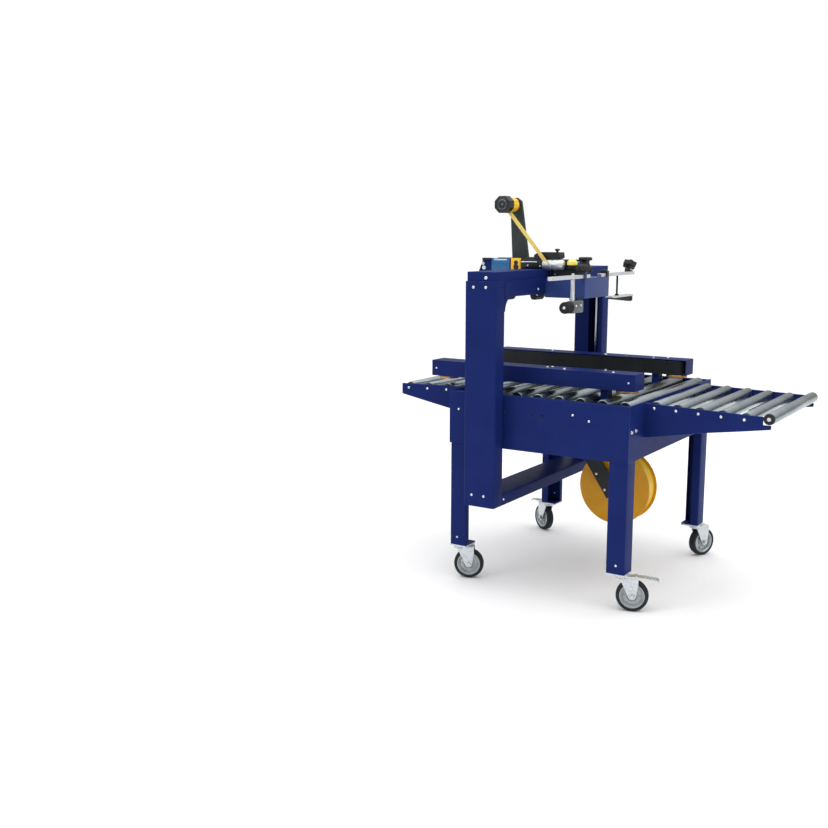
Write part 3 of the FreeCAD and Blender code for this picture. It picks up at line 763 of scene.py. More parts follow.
@dataclass
class Wings:
    """The tapered side plates of the infeed and outfeed wings."""

    face_y: float = 251.0
    rollers: tuple[float, ...] = (343, 411, 479, 547, 615, -551, -474, -397)
    body: str = "frame"

    def build(self) -> None:
        """Build the plates and the screws at each roller's axle."""
        show(Shape.cad("wing_plates"), "wing_sides", self.body, [BLUE, BLUE_EDGE_SHEEN_AND_WEAR],
             ["wing_plates"], edge=0.7, sheen_and_wear_slot=1)
        made = Shape()
        for x in self.rollers:
            for sign in (-1, 1):
                at = (x - 2, sign * self.face_y, wing_height(x) - 3)
                made.add(screw(at, (0, sign, 0), 4.6))
        show(made, "wing_screws", self.body, [SCREW], edge=0.0)


def pointed(profile: Sequence[Pair], sign: int) -> list[Pair]:
    """A turned profile, pointed along its axis or against it."""
    return [(radius, sign * along) for radius, along in profile]


def wing_height(x: float) -> float:
    """The height of a wing roller's axle: the wings fall away gently from the bed."""
    return 626 - 0.033 * (abs(x) - 312)


# ------------------------------------------------------------------------- rollers

@dataclass
class Roller:
    """A tube roller with a bearing insert in each end."""

    name: str
    x: float
    z: float
    radius: float
    spans: tuple[Pair, ...]
    wall: float = 3.4
    axle: float = 5.3

    def tube(self, low: float, high: float) -> Shape:
        """The steel tube with its rims rolled over."""
        inner, length = self.radius - self.wall, high - low
        profile = ((inner, 0.0), (self.radius - 1.6, 0.0), (self.radius - 0.5, 0.45),
                   (self.radius, 1.6), (self.radius, length - 1.6),
                   (self.radius - 0.5, length - 0.45), (self.radius - 1.6, length),
                   (inner, length))
        return Shape.lathe(Axis.Y, (self.x, low, self.z), profile, 0, 56, ring=True)

    def insert(self, end: float, way: int) -> Shape:
        """The bearing insert in one end, with its collar and seal groove."""
        inner = self.radius - self.wall - 0.1
        profile = ((self.axle, 0.2), (8.0, 0.2), (8.4, 1.6), (10.2, 1.6), (10.6, 0.9),
                   (inner - 1.0, 0.9), (inner, 1.8), (inner, 10.0), (self.axle, 10.0))
        return Shape.lathe(Axis.Y, (self.x, end, self.z), pointed(profile, way), 1, 32,
                           ring=True)

    def build(self) -> None:
        """Build every span of the roller as one piece."""
        made = Shape()
        for low, high in self.spans:
            made.add(self.tube(low, high), self.insert(low, 1), self.insert(high, -1))
        show(made, f"{self.name}_tube", self.name, [ROLLER, KNOB],
             [self.name], edge=0.0)


@dataclass
class RollerBed:
    """Every roller of the bed and the wings, with the axles that hold them."""

    full: tuple[float, ...] = (61, 134, 207, 280)
    split: tuple[float, ...] = (-231, -158, -85, -12)
    outfeed: tuple[float, ...] = (343, 411, 479, 547, 615)
    infeed: tuple[float, ...] = (-551, -474, -397)
    tip: Pair = (684.0, 621.0)
    height: float = 628.0

    def rollers(self) -> None:
        """All the rollers."""
        for number, x in enumerate(self.full, 1):
            Roller(f"bed_roller_{number}", x, self.height, 19, ((-330, 330),)).build()
        for number, x in enumerate(self.split, 1):
            Roller(f"split_roller_{number}", x, self.height, 19,
                   ((-330, -62), (62, 330))).build()
        for wing, places in (("outfeed", self.outfeed), ("infeed", self.infeed)):
            for number, x in enumerate(places, 1):
                Roller(f"{wing}_roller_{number}", x, wing_height(x), 17,
                       ((-239, 239),)).build()
        Roller("tip_roller", *self.tip, 17, ((-246, 246),)).build()

    def axles(self) -> None:
        """The fixed axles, and the black collars between the wing rollers and plates."""
        steel, collars = Shape(), Shape()
        for x in self.full:
            steel.add(Shape.rod(Axis.Y, 5, (x, -367, self.height), 734, sides=16))
        for x in self.split:
            for low in (-367, 55):
                steel.add(Shape.rod(Axis.Y, 5, (x, low, self.height), 312, sides=16))
        for x in (*self.outfeed, *self.infeed):
            z = wing_height(x)
            steel.add(Shape.rod(Axis.Y, 5, (x, -248, z), 496, sides=16))
            for sign in (-1, 1):
                profile = ((5.0, 240.2), (12.5, 240.2), (15.6, 241.4), (15.6, 246.4),
                           (14.4, 247.6), (5.0, 247.6))
                collars.add(Shape.lathe(Axis.Y, (x, 0, z), pointed(profile, sign), 0, 32, True))
        x, z = self.tip
        steel.add(Shape.rod(Axis.Y, 5, (x, -254, z), 508, sides=16))
        for sign in (-1, 1):
            profile = ((0.0, 246.4), (15.0, 246.4), (16.5, 247.8), (16.5, 252.4),
                       (15.0, 254.0), (11.6, 254.4), (10.8, 253.0), (7.6, 253.0),
                       (7.0, 254.4), (0.0, 254.4))
            collars.add(Shape.lathe(Axis.Y, (x, 0, z), pointed(profile, sign), 0, 40))
            steel.add(screw((x, sign * 253.6, z), (0, sign, 0), 4.4, Head.HEX))
        show(steel, "axle_rods", "frame", [ROD], ["roller_axles"], edge=0.0)
        show(collars, "axle_collars", "frame", [KNOB], edge=0.0)

    def build(self) -> None:
        """Build and dress all of it."""
        self.rollers()
        self.axles()


# ------------------------------------------------------------------------- casters

@dataclass
class Caster:
    """One swivel caster: pressed fork, wheel and, on two, a brake."""

    name: str
    side_x: int
    side_y: int
    yaw: float
    braked: bool
    stud: Pair = (291.0, 335.0)
    trail: float = 32.0
    hub_z: float = 50.0
    top: float = 114.7
    cheek: float = 17.0

    def settle(self, shape: Shape) -> Shape:
        """Swing a part built about the stud to its angle and put it under its leg."""
        shape.turn(self.yaw, Axis.Z)
        return shape.move(self.side_x * self.stud[0], self.side_y * self.stud[1])

    def trims(self) -> list[tuple[Point, Point]]:
        """The planes that cut the fork's cheeks: straight flanks and a round foot."""
        made = [((-17, 0, 96), (-0.80, 0, -0.60)), ((52, 0, 96), (0.985, 0, -0.17))]
        for degrees in (205, 225, 245, 270, 295, 315, 335):
            away = Vector((math.cos(math.radians(degrees)), 0, math.sin(math.radians(degrees))))
            made.append((tuple(Vector((self.trail, 0, self.hub_z)) + away * 11.5), tuple(away)))
        return made

    def fork(self) -> None:
        """The pressed fork, its ball race and the wheel's bolt."""
        path = ((-self.cheek, 30), (-self.cheek, self.top - 3.0), (self.cheek, self.top - 3.0),
                (self.cheek, 30))
        made = Shape.folded(path, Axis.X, -17, 50, 3.0, 5.0, self.trims())
        made.add(Shape.lathe(Axis.Z, (0, 0, 0), ((6.2, 102), (16, 102), (20, 104), (22.6, 108),
                                                 (23.0, 110), (22.4, 112.6), (20.5, self.top),
                                                 (6.2, self.top)), 0, 40, ring=True))
        for sign in (-1, 1):
            at = (self.trail, sign * (self.cheek + 1.5), self.hub_z)
            made.add(screw(at, (0, sign, 0), 6.2, Head.HEX))
        made.add(Shape.rod(Axis.Y, 3.9, (self.trail, -18, self.hub_z), 36, sides=16))
        if self.braked:
            made.add(Shape.rod(Axis.Y, 3, (42, -20, 109), 40, sides=16))
        show(self.settle(made), f"fork_{self.name}", f"caster_{self.name}", [ZINC],
             [f"caster_fork_{self.name}"], edge=0.5)

    def wheel(self) -> None:
        """A crowned tyre on a ringed hub."""
        at = (self.trail, 0, self.hub_z)
        tyre = ((38.2, -12.5), (40.5, -13.6), (45.5, -13.6), (48.6, -11.0), (49.7, -6.0),
                (50.0, 0.0), (49.7, 6.0), (48.6, 11.0), (45.5, 13.6), (40.5, 13.6),
                (38.2, 12.5))
        made = Shape.lathe(Axis.Y, at, tyre, 0, 64, ring=True)
        show(self.settle(made), f"tyre_{self.name}", f"wheel_{self.name}", [TYRE],
             [f"caster_wheel_{self.name}"], edge=0.0)
        half = ((4.1, 13.8), (9.0, 13.8), (10.6, 12.6), (11.4, 8.6), (15.0, 7.4),
                (16.2, 10.8), (18.6, 10.8), (19.8, 6.8), (29.0, 5.4), (31.0, 9.6),
                (33.0, 9.8), (35.2, 12.6), (38.4, 12.6))
        hub = list(half) + [(radius, -along) for radius, along in reversed(half)]
        made = Shape.lathe(Axis.Y, at, hub, 0, 56, ring=True)
        for turn in range(6):
            rib = Shape.block((21, 29), (-8.6, 8.6), (-1.1, 1.1), 0.4).turn(60 * turn, Axis.Y)
            made.add(rib.move(self.trail, 0, self.hub_z))
        show(self.settle(made), f"hub_{self.name}", f"wheel_{self.name}", [HUB],
             edge=0.0)

    def pedal(self) -> None:
        """The brake pedal: a pressed tread with a turned-down lip and raised bars."""
        made = Shape.rod(Axis.Y, 5.5, (42, -14, 109), 28, 1.0, sides=28)
        path = ((42, 110.0), (60, 110.6), (100, 106.4), (111, 104.4), (112, 98.5))
        made.add(Shape.folded(path, Axis.Y, -14, 14, 3.2, 2.5))
        for step in range(4):
            x, z = 68 + 10 * step, 109.4 - 1.05 * step
            made.add(Shape.block((x, x + 3.4), (-11, 11), (z, z + 3.4), 0.7))
        show(self.settle(made), f"brake_tread_{self.name}", f"pedal_{self.name}", [ZINC],
             [f"brake_pedal_{self.name}"], edge=0.4)

    def build(self) -> None:
        """Build and dress all of it."""
        self.fork()
        self.wheel()
        if self.braked:
            self.pedal()


@dataclass
class Casters:
    """The four casters and the plates that bolt them to the legs."""

    places: tuple[tuple[str, int, int, float, bool], ...] = (
        ("front_left", -1, -1, 24, False), ("front_right", 1, -1, 20, True),
        ("rear_left", -1, 1, 149, True), ("rear_right", 1, 1, 62, False))

    def build(self) -> None:
        """Build and dress all of it."""
        plates = Shape.cad("caster_plates")
        show(plates, "top_plates", "frame", [ZINC], ["caster_plates"], edge=0.8)
        for name, side_x, side_y, yaw, braked in self.places:
            Caster(name, side_x, side_y, yaw, braked).build()


# ------------------------------------------------------------------------- portal

@dataclass
class Portal:
    """The portal that rides up and down: columns, beams, cap, head box and rods."""

    left: float = -220.5
    right: float = -109.1
    outer_y: float = 431.4
    inner_y: float = 373.0
    beam_top: float = 318.0
    cap_top: float = 1027.0
    cap_inset: float = 4.0
    sheet: float = 3.0
    fold: float = 6.0
    rod: Pair = (-143.5, 402.0)
    body: str = "portal"

    def columns(self) -> None:
        """The folded columns with round corners down their length."""
        shape = Shape.cad("portal_columns")
        t, small = self.sheet, self.fold - 2.8
        shape.soften(self.fold, lines(Axis.Z, 300, x=[self.left, self.right],
                                      y=[self.outer_y, self.inner_y]), 6)
        shape.soften(small, lines(Axis.Z, 300, x=[self.left + t, self.right - t],
                                  y=[self.outer_y - t, self.inner_y + t]), 4)
        show(shape, "columns", self.body, [BLUE, BLUE_EDGE_SHEEN_AND_WEAR],
             ["portal_columns"], sheen_and_wear_slot=1)

    def beams(self) -> None:
        """The lower beam, and the crossbeam with its gussets and cap."""
        lower = Shape.cad("portal_lower_beam")
        t = self.sheet
        lower.soften(4.5, lines(Axis.Y, 300, x=[self.left, self.right], z=[self.beam_top]), 5)
        lower.soften(2.0, lines(Axis.Y, 300, x=[self.left + t, self.right - t],
                                z=[self.beam_top - t]), 3)
        show(lower, "lower_beam", self.body, [BLUE, BLUE_EDGE_SHEEN_AND_WEAR],
             ["portal_lower_beam"], sheen_and_wear_slot=1)
        cross = Shape.cad("portal_crossbeam")
        inset = self.cap_inset
        cap_x, cap_y = [self.left + inset, self.right - inset], [self.outer_y - inset]
        cross.soften(5.0, lines(Axis.Z, 10, x=cap_x, y=cap_y), 5)
        cross.soften(3.5, lines(Axis.Y, 100, x=cap_x, z=[self.cap_top]), 4)
        cross.soften(3.5, lines(Axis.X, 60, y=cap_y, z=[self.cap_top]), 4)
        show(cross, "crossbeam", self.body, [BLUE, BLUE_EDGE_SHEEN_AND_WEAR],
             ["portal_crossbeam"], sheen_and_wear_slot=1)

    def head_box(self) -> None:
        """The box that carries the outfeed half of the head, and its stud."""
        box = Shape.cad("head_box")
        box.soften(4.0, lines(Axis.Z, 50, x=[33], y=[97]), 5)
        box.paint(1, lambda at: math.hypot(at.x + 12, at.y) < 6 and at.z > 1000.5)
        box.paint(2, lambda at: abs(at.y) > 81 and at.z > 1000.2)
        # The box gets a paler copy of the blue paint, a painted highlight for the light that falls
        # on it.
        show(box, "head_carrier", self.body, [LIT_BLUE, ROD, KNOB],
             ["head_box"], edge=0.8)

    def rods(self) -> None:
        """The bright rods that the portal rides on, and the bed's bushings round them."""
        made = Shape()
        x, y = self.rod
        for sign in (-1, 1):
            made.add(Shape.rod(Axis.Z, 8, (x, sign * y, 284.2), 739.6, 1.2))
        show(made, "guide_columns", self.body, [ROD], ["lift_rods"], edge=0.0)
        show(Shape.cad("lift_bushings"), "slide_bushings", "frame", [NYLON],
             ["lift_bushings"], edge=1.2)

    def screws(self) -> None:
        """The screws of the cap, the columns and the beams."""
        made = Shape()
        for sign in (-1, 1):
            face = sign * self.outer_y
            for x in (-190, -146):
                made.add(screw((x, face, 980), (0, sign, 0), 5.0))
                made.add(screw((x, face, self.beam_top), (0, sign, 0), 4.6))
            made.add(screw((-148, sign * (self.outer_y - self.cap_inset), 1009),
                           (0, sign, 0), 6.0))
            for x, way in ((self.left, -1), (self.right, 1)):
                made.add(screw((x, sign * 366, 300), (way, 0, 0), 4.2))
        for y in (-150, 150):
            made.add(screw((self.right, y, 964), (1, 0, 0), 4.2))
            made.add(screw((self.left, y, 964), (-1, 0, 0), 4.2))
        show(made, "portal_screws", self.body, [SCREW], edge=0.0)

    def build(self) -> None:
        """Build and dress all of it."""
        self.columns()
        self.beams()
        self.head_box()
        self.rods()
        self.screws()


# ------------------------------------------------------------------------- upper head

@dataclass
class UpperHead:
    """The tape head on the crossbeam, with the mechanism that shows round it."""

    body: str = "portal"

    def plates(self) -> None:
        """The side plates, with the pivot ends and a black strip along the top."""
        shape = Shape.cad("upper_head_frame")
        shape.paint(2, lambda at: abs(at.y) < 56.5)
        show(shape, "head_plates", self.body, [BLUE, BLUE_EDGE_SHEEN_AND_WEAR, ZINC],
             ["upper_head_frame"], edge=0.6, sheen_and_wear_slot=1)
        made = Shape.block((-371, -336), (-66, -48), (1055, 1062), 1.2)
        made.add(Shape.block((-371, -262), (44, 66), (1055, 1061), 1.2))
        show(made, "head_strip", self.body, [BLACK], edge=0.0)
        pins = Shape()
        for x, z in ((-350, 1010), (-92, 1010), (-370, 1042), (-62, 1045)):
            for sign in (-1, 1):
                pins.add(screw((x, sign * 60, z), (0, sign, 0), 4.6, Head.HEX))
        badge = Shape.lathe(Axis.Y, (-366, -60, 1028),
                            [(0, -2.4), (5.6, -2.4), (7.0, -1.2), (7.0, 0.2), (0, 0.2)], 1, 28)
        pins.add(badge)
        show(pins, "head_pins", self.body, [SCREW, LABEL], edge=0.0)

    def panel(self) -> None:
        """The blank teal panel and the yellow plate with its keyhole."""
        made = Shape.block((-335, -264), (-63.4, -60.0), (1013, 1061), 1.4)
        made.add(Shape.block((-324, -275), (-64.2, -63.0), (1054, 1058), 0.5, 1))
        show(made, "teal_panel", self.body, [TEAL, LABEL], edge=0.0)
        plate = Shape.block((-259, -221), (-64.6, -60.0), (1012, 1062), 1.6)
        show(plate, "yellow_plate", self.body, [YELLOW], edge=0.0)
        slots = Shape()
        for z, radius in ((1047, 7.6), (1033, 9.6)):
            slots.add(Shape.lathe(Axis.Y, (-239, -64.4, z),
                                  [(0, -2.0), (radius - 1.2, -2.0), (radius, -1.0),
                                   (radius, 0.6), (0, 0.6)], 0, 28))
        show(slots, "plate_keyhole", self.body, [KNOB], edge=0.0)

    def mechanism(self) -> None:
        """The black cutter housing, the silver damper and the small levers."""
        outline = ((-220, 1028.5), (-106, 1028.5), (-106, 994), (-4, 994), (-4, 1036),
                   (-40, 1058), (-220, 1058))
        black = Shape.plate(outline, Axis.Y, -63.8, -60.2, 2.5)
        black.add(Shape.block((-220, -116), (-68, -8), (1029, 1060), 3.0))
        black.add(Shape.block((-208, -134), (-62, -14), (1054, 1066), 3.0))
        black.add(Shape.block((-132, -110), (-66, -20), (1034, 1072), 4.0))
        black.add(Shape.plate(((-167, 1060), (-80, 1060), (-71, 1066), (-74, 1083),
                               (-150, 1083), (-167, 1074)), Axis.Y, -72, -34, 2.5))
        black.add(Shape.lathe(Axis.Z, (-93, -47, 1082), [(0, 0), (4, 0), (4, 5), (8, 6.5),
                                                         (8.6, 9), (7, 12), (0, 12.6)], 0, 24))
        black.add(Shape.block((-44, -10), (-74, -58), (1026, 1042), 3.0))
        show(black, "cutter_housing", self.body, [KNOB], edge=0.0)
        silver = Shape.lathe(Axis.X, (-128, -78, 1042),
                             [(0, 0), (11, 0), (15, 1.6), (16.5, 4), (16.5, 32), (15, 33.4),
                              (15, 37), (16.5, 38.4), (16.5, 70), (14.6, 74), (10, 77), (0, 78)],
                             0, 48)
        silver.add(Shape.rod(Axis.X, 2.2, (-216, -70, 1050), 60, 0.6))
        silver.add(screw((-192, -68, 1038), (0, -1, 0), 3.6))
        silver.add(screw((-146, -68, 1036), (0, -1, 0), 3.6))
        show(silver, "damper", self.body, [ALUMINIUM], edge=0.0)
        yellow = Shape.lathe(Axis.Z, (-26, -72, 1042), [(0, 20), (9, 18.6), (14.5, 14), (17, 7),
                                                        (17, 0), (0, 0)], 0, 40)
        show(yellow, "lever_tip", self.body, [PALE], edge=0.0)

    def cutter_guard(self) -> None:
        """The black guard that hangs under the crossbeam."""
        outline = ((-201, 947), (-148, 947), (-150, 932), (-176, 930), (-182, 920), (-196, 922),
                   (-201, 934))
        made = Shape.plate(outline, Axis.Y, -30, 30, 2.5)
        made.add(screw((-174, -30, 938), (0, -1, 0), 3.2, slot=1))
        show(made, "cutter_guard", self.body, [BLACK, SCREW], edge=0.6)

    def clamps(self) -> None:
        """The bar guides' black blocks: a lobed knob in front, a flat one at the rear."""
        made = Shape.block((4, 34), (-101, -80), (1016, 1022), 1.6)
        made.add(Shape.lathe(Axis.Z, (15, -92, 1021), [(0, 0), (12, 0), (11, 5), (0, 5)], 0, 28))
        made.add(Shape.star(22, 20, 6, 4.2, 0.92, 3.6).move(15, -92, 1024))
        made.add(Shape.rod(Axis.Z, 7, (15, -92, 1043), 3, 1.0))
        made.add(Shape.block((7, 33), (80, 99), (1016, 1020), 1.4))
        made.add(Shape.rod(Axis.Z, 8, (20, 90, 1019), 5, 1.4))
        show(made, "bar_clamps", self.body, [KNOB], edge=0.0)

    def build(self) -> None:
        """Build and dress all of it."""
        self.plates()
        self.panel()
        self.mechanism()
        self.cutter_guard()
        self.clamps()


@dataclass
class TapeSupply:
    """The mast, the drum that the upper tape turns on, and the tape's free run."""

    hub_x: float = -308.0
    hub_z: float = 1243.0

    def mast(self) -> None:
        """The dark mast and its foot bolts."""
        made = Shape.cad("tape_mast")
        for x, z in ((-296, 1040), (-262, 1040)):
            made.add(screw((x, 45, z), (0, -1, 0), 4.4, slot=1))
        show(made, "mast", "portal", [MAST, SCREW], ["tape_mast"], edge=2.0)

    def drum(self) -> None:
        """The yellow drum with its faceted black cap."""
        at = (self.hub_x, 0, self.hub_z)
        drum = ((8.1, -9), (21.6, -9), (24, -7), (24, 38), (21.6, 40), (18.0, 40),
                (17.4, 37), (8.1, 37))
        made = Shape.lathe(Axis.Y, at, drum, 0, 48, ring=True)
        for turn in range(12):
            rib = Shape.block((23.4, 24.6), (-6, 36), (-1.2, 1.2), 0.4)
            made.add(rib.turn(30 * turn, Axis.Y).move(self.hub_x, 0, self.hub_z))
        show(made, "tape_core", "tape_drum", [YELLOW], ["tape_drum"], edge=0.0)
        cap = Shape.rod(Axis.Y, 31, (0, -43.5, 0), 34.0, 0.01, 0, 8)
        cap.turn(22.5, Axis.Y).soften(7.0, lambda edge: all(v.co.y < -43 for v in edge.verts)
                                      and edge.calc_face_angle(0) > 0.8, 1)
        cap.outward().paint(1, lambda at: at.y < -34 and math.hypot(at.x, at.z) > 21)
        cap.add(Shape.lathe(Axis.Y, (0, -43.9, 0), [(0, 1.6), (7, 1.2), (13.5, 1.4), (15.5, 0.1),
                                                    (17.2, 0.4), (17.2, 3), (0, 3)], 1, 40))
        cap.add(Shape.rod(Axis.Y, 5, (0, -43.8, 0), 3, 1.0, 1, 6))
        cap.move(*at)
        show(cap, "drum_cap", "tape_drum", [KNOB, GLOSS], edge=0.8)

    def strip(self) -> None:
        """The taut strip of tape from the drum down to the head."""
        outline = ((-309, 1217), (-292, 1222), (-240, 1176), (-97, 1046), (-108, 1036),
                   (-252, 1166))
        made = Shape.plate(outline, Axis.Y, -0.3, 0.3).lean(-0.45, -141.0)
        show(made, "tape_run", "portal", [TAPE], edge=0.0)

    def build(self) -> None:
        """Build and dress all of it."""
        self.mast()
        self.drum()
        self.strip()


@dataclass
class ClampKnob:
    """The large lobed hand knob above the head box."""

    x: float = -12.0
    low: float = 1016.0
    top: float = 1068.0

    def build(self) -> None:
        """A hub with a flared, lobed grip."""
        made = Shape.lathe(Axis.Z, (self.x, 0, self.low),
                           [(5.2, 0), (10.4, 0), (11, 1), (11, 16), (20, 19), (17, 24),
                            (14, 30), (13.6, 34), (15, 39), (20, 43), (5.2, 43)],
                           0, 40, ring=True)
        made.add(Shape.star(26, 17, 6, 4.4, 0.92, 4.0).move(self.x, 0, self.low + 3))
        made.add(Shape.star(24.5, 11, 6, 2.4, 0.96, 3.6).move(self.x, 0, self.low + 40))
        made.add(Shape.lathe(Axis.Z, (self.x, 0, self.top - 4),
                             [(0, 0.6), (8, 0.6), (9, 1.6), (10.4, 1.6), (11, 0), (0, 0)],
                             1, 32))
        made.add(Shape.lathe(Axis.Z, (self.x, 0, self.low - 0.4),
                             [(5.2, 0), (9, 0), (9, 1.4), (5.2, 1.4)], 2, 32, ring=True))
        show(made, "lobed_grip", "clamp_knob", [KNOB, GLOSS, SCREW],
             ["clamp_knob"], edge=0.0)


# ------------------------------------------------------------------------- hold-down arms

@dataclass
class HoldDown:
    """The two sliding bars with the roller and the shoe that press on the carton."""

    x: Pair = (12.0, 28.0)
    z: Pair = (1000.3, 1012.0)
    inner: float = 45.0
    front_end: float = 334.0
    rear_end: float = 340.0

    def bar(self, sign: int) -> Shape:
        """The flat bar, rounded at its outer end, with an end stop inside."""
        end = self.front_end if sign == FRONT else self.rear_end
        made = Shape.block(self.x, (sign * self.inner, sign * end), self.z)
        made.soften(7.4, lines(Axis.Z, 8, y=[end]), 6)
        return made

    def front(self) -> None:
        """The front bar, its pale flat stem and the rubber roller under it."""
        made = self.bar(FRONT)
        made.add(Shape.block((15, 25), (-168, -156), (905, 1001), 1.6))
        made.add(screw((20, -162, 1012), (0, 0, 1), 5.0, Head.HEX))
        show(made, "press_bar_front", "squeeze_front", [ALUMINIUM],
             ["squeeze_arm_front"], edge=0.8)
        made = Shape.block((7, 33), (-180, -104), (891, 930), 3.0)
        for y in (-160, -124):
            made.add(screw((7, y, 914), (-1, 0, 0), 4.2, slot=1))
            made.add(screw((33, y, 914), (1, 0, 0), 4.2, slot=1))
        made.add(Shape.rod(Axis.Y, 5, (20, -224, 911), 50, 1.0, 1))
        show(made, "press_block_front", "squeeze_front", [GREY, SCREW], edge=0.0)
        profile = [(5.1, -40), (14, -40), (17, -38.6)]
        for step in range(5):
            start = -37 + step * 7.4
            profile += [(18.6, start), (18.9, start + 2), (18.6, start + 5), (16.6, start + 6.2)]
        profile += [(15, 0), (5.1, 0)]
        made = Shape.lathe(Axis.Y, (20, -182, 911), profile, 0, 48, ring=True)
        show(made, "press_roller_front", "squeeze_front", [RUBBER], edge=0.0)

    def rear(self) -> None:
        """The rear bar with its rod, the long sprung shoe and the tilted knob."""
        show(self.bar(REAR), "press_bar_rear", "squeeze_rear", [ALUMINIUM],
             ["squeeze_arm_rear"], edge=0.8)
        made = Shape.rod(Axis.Z, 3.4, (20, 198, 930), 72, 0.6)
        made.add(Shape.rod(Axis.Z, 7, (20, 198, 932), 5, 1.4))
        made.add(Shape.plate(((133, 925.5), (312, 925.5), (312, 908), (282, 909), (150, 921)),
                             Axis.X, 8, 32, 1.5))
        made.add(Shape.rod(Axis.X, 11, (6, 300, 918), 28, 2.5))
        show(made, "press_shoe_rear", "squeeze_rear", [RUBBER], edge=0.8)
        made = Shape.block((5, 35), (134, 312), (925.8, 931.6), 1.5)
        for y in (150, 292):
            made.add(screw((20, y, 931.5), (0, 0, 1), 4.6))
        show(made, "press_plate_rear", "squeeze_rear", [ALUMINIUM], edge=0.0)
        grip = Shape.star(23, 20, 6, 4.2, 1.12, 3.6)
        grip.add(Shape.lathe(Axis.Z, (0, 0, 0), [(0, -14), (5, -14), (9, -3), (12, 1), (0, 1)],
                             0, 32))
        grip.aim(Vector((0, 0.52, 0.85)), (20, 300, 1027))
        lever = Shape.rod(Axis.Z, 3.2, (0, 0, -38), 40, 0.8)
        lever.add(Shape.lathe(Axis.Z, (0, 0, -26), [(0, -7), (5, -5), (7, 0), (5, 5), (0, 7)],
                              0, 24))
        lever.aim(Vector((0, 0.9, 0.44)), (20, 302, 1031))
        grip.add(lever, Shape.block((10, 30), (284, 312), (1012, 1017), 1.6))
        show(grip, "tilted_knob_rear", "squeeze_rear", [KNOB], edge=0.0)

    def build(self) -> None:
        """Build and dress all of it."""
        self.front()
        self.rear()


@dataclass
class TapeArms:
    """The four sprung arms of the tape heads, each with a rubber roller."""

    reach: float = 94.3
    roll: float = 14.0
    pivots: dict[str, Point] = field(default_factory=lambda: {
        "upper_apply": (-350, 1010, 58), "upper_wipe": (-92, 1010, 58),
        "lower_apply": (-245, 560, -58), "lower_wipe": (-75, 560, -58)})

    def arm(self, name: str, x: float, z: float, slope: float) -> None:
        """One arm, its roller given a rubber sleeve."""
        turn = math.radians(slope)
        tip_x, tip_z = x + self.reach * math.cos(turn), z - self.reach * math.sin(turn)
        made = Shape.cad(f"{name}_arm")
        made.paint(1, lambda at: abs(at.y) < 26.5
                   and math.hypot(at.x - tip_x, at.z - tip_z) < self.roll + 0.3)
        for sign in (-1, 1):
            made.add(screw((tip_x, sign * 31, tip_z), (0, sign, 0), 4.4, Head.HEX))
        show(made, f"{name}_lever", name, [ZINC, RUBBER], [f"{name}_arm"],
             edge=0.7)

    def build(self) -> None:
        """Build and dress all of it."""
        for name, (x, z, slope) in self.pivots.items():
            self.arm(name, x, z, slope)


# ------------------------------------------------------------------------- side belts

@dataclass
class BeltUnit:
    """One side belt: cover, belt and the two drums."""

    place: str
    side: int
    left: float = -450.0
    right: float = 282.0
    outer: float = 265.0
    high: float = 720.0
    drum_y: float = 218.0
    drums: tuple[tuple[str, float], ...] = (("drive_drum", 240.0), ("idler_drum", -408.0))

    def cover(self) -> None:
        """The folded cover with round top and end corners."""
        body = f"belt_unit_{self.place}"
        shape = Shape.cad(f"belt_housing_{self.place}")
        ends = [self.left, self.right]
        shape.soften(5.0, lines(Axis.Z, 30, x=ends, y=[self.outer]), 6)
        shape.soften(4.0, lines(Axis.X, 300, y=[self.outer], z=[self.high]), 5)
        shape.soften(2.5, lines(Axis.Y, 30, x=ends, z=[self.high]), 4)
        show(shape, f"belt_cover_{self.place}", body, [BLUE, BLUE_EDGE_SHEEN_AND_WEAR],
             [f"belt_housing_{self.place}"], sheen_and_wear_slot=1)
        made = Shape()
        spots = ((-238, 230), (-30, 230), (-20, 214), (200, 238), (40, 250), (160, 205))
        for x, y in spots[:4]:
            made.add(screw((x, self.side * y, self.high), (0, 0, 1), 4.4))
        for x in (-430, 262):
            made.add(screw((x, self.side * self.outer, 694), (0, self.side, 0), 3.6))
        for x, y in spots[4:]:
            made.add(screw((x, self.side * y, self.high), (0, 0, 1), 3.6, Head.HEX))
        show(made, f"cover_screws_{self.place}", body, [SCREW], edge=0.0)

    def belt(self) -> None:
        """The belt as it runs round both drums."""
        show(Shape.cad(f"side_belt_{self.place}"), f"belt_{self.place}",
             f"belt_unit_{self.place}", [BELT], [f"side_belt_{self.place}"],
             edge=0.5)

    def drum(self, name: str, x: float) -> None:
        """A turned drum with its flange below the belt."""
        profile = ((8.1, 657), (32, 657), (34.4, 658), (35, 660), (35, 666), (34, 667.6),
                   (30.2, 668), (28.6, 668.6), (29.7, 670.5), (29.7, 713), (28.4, 715.6),
                   (8.1, 715.6))
        made = Shape.lathe(Axis.Z, (x, self.side * self.drum_y, 0), profile, 0, 56, ring=True)
        node = f"{name}_{self.place}"
        show(made, f"{node}_turned", node, [DRUM], [node], edge=0.0)

    def build(self) -> None:
        """Build and dress all of it."""
        self.cover()
        self.belt()
        for name, x in self.drums:
            self.drum(name, x)


# ------------------------------------------------------------------------- lower head

